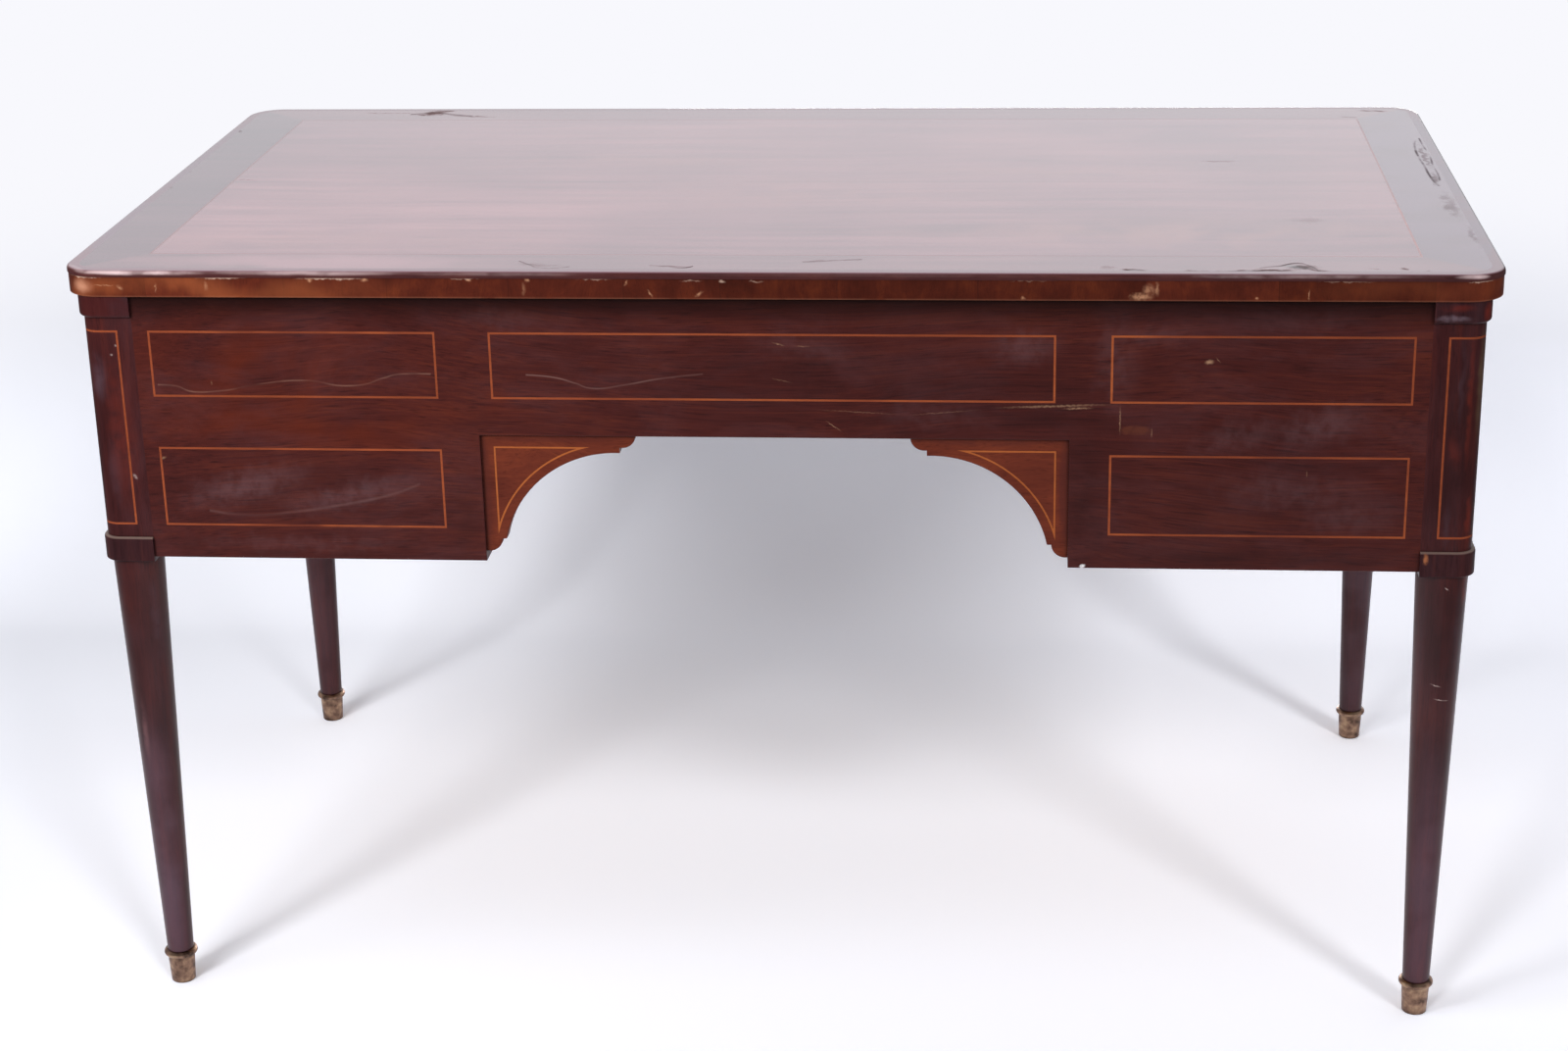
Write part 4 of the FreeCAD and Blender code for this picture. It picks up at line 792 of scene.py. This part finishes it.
def plainSteel():
    mat = newMaterial("steel_screw_plain")  # grey and a little mottled
    where = addNode(mat, "TexCoord").outputs["Object"]
    patches = addNode(mat, "TexNoise", {"Vector": where, "Scale": 1 / (steel["patch"] * mm), "Detail": 2})
    colour = addNode(mat, "ValToRGB", {"Fac": patches}, steel["colours"])
    return finishMaterial(mat, {"Base Color": colour, **steel["finish"]})


dress(plainSteel(), "top_screws")


# Studio: a pale floor that sweeps up behind, a white surround and soft lamps

studio = {
    "floor": 60000, "paper": "#EFF1F8", "white": "#F8F8FD",
    "lift": (1.16, 1.58, 1000),  # makes lit paper look white, at the left and at the right
    "near": {"from": -450, "to": 250, "share": 0.88},  # less of it towards the camera
    "far": (1400, 2400),  # the paper turns plain white between these
    "sheet": (1300, 1900), "beyond": 0.1,  # a polished side shows the lit sheet, then the dim room
    "sweep": {"start": 580, "radius": 340, "steps": 32, "height": 3000, "foot": 20, "raised": 0.3,
              "rise": 3.5, "steep": 0.65, "lean": 0.32},  # the bend faces the lamps, so it is lifted less
    "fill": 0.44,  # light from all sides
    "roof": {"axis": 2, "from": 0.5, "to": 0.85, "share": 0.75},  # a polish sees a dim ceiling,
    "left": {"axis": 0, "from": 0.05, "to": -0.3, "share": 0.14},  # a room that is darker on the left
    "front": {"axis": 1, "from": -0.1, "to": -0.5, "share": 0.8},  # and dark behind the camera
    # name, turn, height, strength, spread
    "lamps": [("lampLeftLow", -27, 24, 0.48, 11), ("lampLeftHigh", -27, 37, 0.44, 11),
              ("lampRightLow", 33, 24, 0.56, 11), ("lampRightHigh", 33, 37, 0.54, 11)],
    # name, place, aim, size, power, use
    "boxes": [("softboxNear", (-1020, -1400, 1250), (-550, -300, 650), (500, 500), 12, "diffuse"),
              ("softboxHigh", (-1200, -900, 2400), (-300, 0, 700), (800, 800), 8, "diffuse"),
              ("softboxDrawers", (300, 2600, 440), (0, 350, 560), (1600, 500), 40, "drawers")],
}


def shownRays(tree):  # rays that show a surface to the eye, straight or in a polish
    seen = addNode(tree, "LightPath").outputs
    shown = seen["Is Camera Ray"]
    for kind in ("Is Glossy Ray", "Is Transmission Ray"):
        shown = addNode(tree, "Math", {0: shown, 1: seen[kind]}, operation="MAXIMUM")
    return shown, seen["Is Glossy Ray"]


def paperSheet(mat, shown, faces):  # keeps the desk's shadow near it, plain white further out and up
    where, axes = ownPlace(mat)
    left, right, reach = studio["lift"]
    lift = {"Value": axes[0], "From Min": -reach * mm, "From Max": reach * mm,
            "To Min": left, "To Max": right}
    lift = addNode(mat, "MapRange", lift)
    sweep = studio["sweep"]
    level = addNode(mat, "MapRange", {"Value": facingUp(mat), "To Min": sweep["steep"]})
    close = studio["near"]
    near = {"Value": axes[1], "From Min": close["from"] * mm, "From Max": close["to"] * mm,
            "To Min": close["share"]}
    near = addNode(mat, "MapRange", near)
    for share in (level, near):
        lift = addNode(mat, "Math", {0: lift, 1: share}, operation="MULTIPLY")
    lift = addNode(mat, "Mix", {0: shown, 2: 1.0, 3: lift})
    tone = addNode(mat, "VectorMath", {0: linear(studio["paper"])[:3], 3: lift}, operation="SCALE")
    paper = addNode(mat, "BsdfDiffuse", {"Color": tone, "Normal": faces})
    rise = addNode(mat, "VectorMath", {0: where, 1: (1, 1, sweep["rise"])}, operation="MULTIPLY")
    out = addNode(mat, "VectorMath", {0: rise}, operation="LENGTH").outputs["Value"]
    far = {"Value": out, "From Min": studio["far"][0] * mm, "From Max": studio["far"][1] * mm}
    far = addNode(mat, "MapRange", far, interpolation_type="SMOOTHSTEP")
    far = addNode(mat, "Math", {0: far, 1: shown}, operation="MULTIPLY")
    white = addNode(mat, "Emission", {"Color": linear(studio["white"]), "Strength": 1})
    return addNode(mat, "MixShader", {0: far, 1: paper, 2: white}), out


def leaning(mat, shown):  # behind the bend's foot the floor is lit as the bend is, so the seam is soft
    sweep = studio["sweep"]
    start, most = sweep["start"], sweep["lean"]
    end = start + sweep["radius"] * most
    away = ownPlace(mat)[1][1]
    lean = {"Value": away, "From Min": start * mm, "From Max": end * mm, "To Max": most}
    lean = addNode(mat, "MapRange", lean)
    lean = addNode(mat, "Math", {0: lean, 1: shown}, operation="MULTIPLY")
    # lean is the tangent of half the tilt
    back = addNode(mat, "Math", {0: lean, 1: -2.0}, operation="MULTIPLY")
    up = addNode(mat, "Math", {0: lean, 1: lean}, operation="MULTIPLY")
    up = addNode(mat, "Math", {0: 1.0, 1: up}, operation="SUBTRACT")
    faces = addNode(mat, "CombineXYZ", {1: back, 2: up})
    return addNode(mat, "VectorMath", {0: faces}, operation="NORMALIZE")


def makeFloor():
    bpy.ops.object.select_all(action="DESELECT")
    bpy.ops.mesh.primitive_plane_add(size=studio["floor"] * mm)
    floor = bpy.context.object
    floor.name = "floor"
    mat = newMaterial("paper_floor")
    shown, glossy = shownRays(mat)
    paper, out = paperSheet(mat, shown, leaning(mat, shown))
    sheet = {"Value": out, "From Min": studio["sheet"][0] * mm, "From Max": studio["sheet"][1] * mm}
    sheet = addNode(mat, "MapRange", sheet)
    sheet = addNode(mat, "Math", {0: sheet, 1: glossy}, operation="MULTIPLY")
    dark = addNode(mat, "Emission", {"Color": linear(studio["white"]), "Strength": studio["beyond"]})
    mixed = addNode(mat, "MixShader", {0: sheet, 1: paper, 2: dark})
    addNode(mat, "OutputMaterial", {"Surface": mixed})
    floor.data.materials.append(mat)


def makeBackdrop():  # the paper's bend behind the desk, shown to the eye only and from the front only
    sweep = studio["sweep"]
    start, bend, foot = [sweep[part] * mm for part in ("start", "radius", "foot")]
    bpy.ops.object.select_all(action="DESELECT")
    bpy.ops.mesh.primitive_plane_add(size=1)
    backdrop = bpy.context.object
    backdrop.name = "backdrop"
    backdrop.scale = (studio["floor"] * mm, foot, 1)
    backdrop.location = (0, start - foot / 2, sweep["raised"] * mm)
    bpy.ops.object.transform_apply(location=True, rotation=False, scale=True)
    bpy.ops.object.mode_set(mode="EDIT")
    bpy.ops.mesh.select_mode(type="EDGE")
    bpy.ops.mesh.select_all(action="DESELECT")
    bpy.ops.object.mode_set(mode="OBJECT")
    for side in backdrop.data.edges:
        side.select = all(backdrop.data.vertices[end].co.y > start - foot / 4 for end in side.vertices)
    bpy.ops.object.mode_set(mode="EDIT")
    quarter = math.radians(-90)
    bpy.ops.mesh.spin(steps=sweep["steps"], angle=quarter, center=(0, start, bend), axis=(1, 0, 0))
    bpy.ops.mesh.extrude_region_move(TRANSFORM_OT_translate={"value": (0, 0, sweep["height"] * mm)})
    bpy.ops.object.mode_set(mode="OBJECT")
    bpy.ops.object.shade_smooth()
    mat = newMaterial("paper_backdrop")
    eye = addNode(mat, "LightPath").outputs["Is Camera Ray"]
    facing = addNode(mat, "NewGeometry").outputs
    eye = addNode(mat, "Math", {0: eye, 1: facing["Backfacing"]}, operation="SUBTRACT", use_clamp=True)
    clear = addNode(mat, "BsdfTransparent")
    paper = paperSheet(mat, 1.0, facing["Normal"])[0]
    mixed = addNode(mat, "MixShader", {0: eye, 1: clear, 2: paper})
    addNode(mat, "OutputMaterial", {"Surface": mixed})
    backdrop.data.materials.append(mat)


def makeSurround():
    world = bpy.data.worlds.new("studio")
    world.use_nodes = True
    world.node_tree.nodes.clear()
    shown, glossy = shownRays(world)
    strength = addNode(world, "MapRange", {"Value": shown, "To Min": studio["fill"]})
    towards = addNode(world, "SeparateXYZ", {0: addNode(world, "TexCoord").outputs["Generated"]}).outputs
    loss = 0.0
    for name in ("roof", "left", "front"):
        part = studio[name]
        dark = {"Value": towards[part["axis"]], "From Min": part["from"], "From Max": part["to"],
                "To Max": part["share"]}
        dark = addNode(world, "MapRange", dark)
        loss = addNode(world, "Math", {0: dark, 1: loss}, operation="MAXIMUM")
    loss = addNode(world, "Math", {0: loss, 1: glossy}, operation="MULTIPLY")
    strength = addNode(world, "Math", {0: strength, 1: loss}, operation="SUBTRACT")
    back = addNode(world, "Background", {"Color": linear(studio["white"]), "Strength": strength})
    addNode(world, "OutputWorld", {"Surface": back})
    bpy.context.scene.world = world


def newObject(name, data):
    item = bpy.data.objects.new(name, data)
    bpy.context.scene.collection.objects.link(item)
    return item


def makeLamps():
    for name, side, height, strength, spread in studio["lamps"]:
        lamp = bpy.data.lights.new(name, "SUN")
        lamp.energy = strength
        lamp.angle = math.radians(spread)
        holder = newObject(name, lamp)
        turn = Matrix.Rotation(math.radians(side), 4, "Z")
        holder.matrix_world = turn @ Matrix.Rotation(math.radians(90 - height), 4, "X")
        holder.visible_glossy = False  # no glare in the polished top
    for name, place, aim, (width, height), power, use in studio["boxes"]:
        lamp = bpy.data.lights.new(name, "AREA")
        lamp.energy = power
        lamp.shape = "RECTANGLE"
        lamp.size = width * mm
        lamp.size_y = height * mm
        holder = newObject(name, lamp)
        holder.location = Vector(place) * mm
        holder.rotation_euler = (Vector(aim) - Vector(place)).to_track_quat("-Z", "Y").to_euler()
        holder.visible_camera = False
        holder.visible_glossy = use != "diffuse"
        if use == "drawers":  # lights the far side of the desk and leaves the floor's shadows alone
            unlit = bpy.data.collections.new("paper")
            for sheet in ("floor", "backdrop"):
                unlit.objects.link(bpy.data.objects[sheet])
            for item in unlit.collection_objects:
                item.light_linking.link_state = "EXCLUDE"
            holder.light_linking.receiver_collection = unlit


photoCamera = {"place": (247.33, -2841.58, 1439.34), "left": 5.45, "down": 20.31, "roll": 1.26,
               "lens": 65.14, "film": 36}


def makeCamera():
    data = bpy.data.cameras.new("photo_camera")
    data.sensor_width = photoCamera["film"]
    data.lens = photoCamera["lens"]
    camera = newObject("photo_camera", data)
    turn = Matrix.Rotation(math.radians(photoCamera["left"]), 4, "Z")
    turn = turn @ Matrix.Rotation(math.radians(90 - photoCamera["down"]), 4, "X")
    turn = turn @ Matrix.Rotation(math.radians(-photoCamera["roll"]), 4, "Z")
    camera.matrix_world = Matrix.Translation([part * mm for part in photoCamera["place"]]) @ turn
    bpy.context.scene.camera = camera


makeFloor()
makeBackdrop()
makeSurround()
makeLamps()
makeCamera()
bpy.context.scene.view_settings.view_transform = "Standard"
print("studio ready")
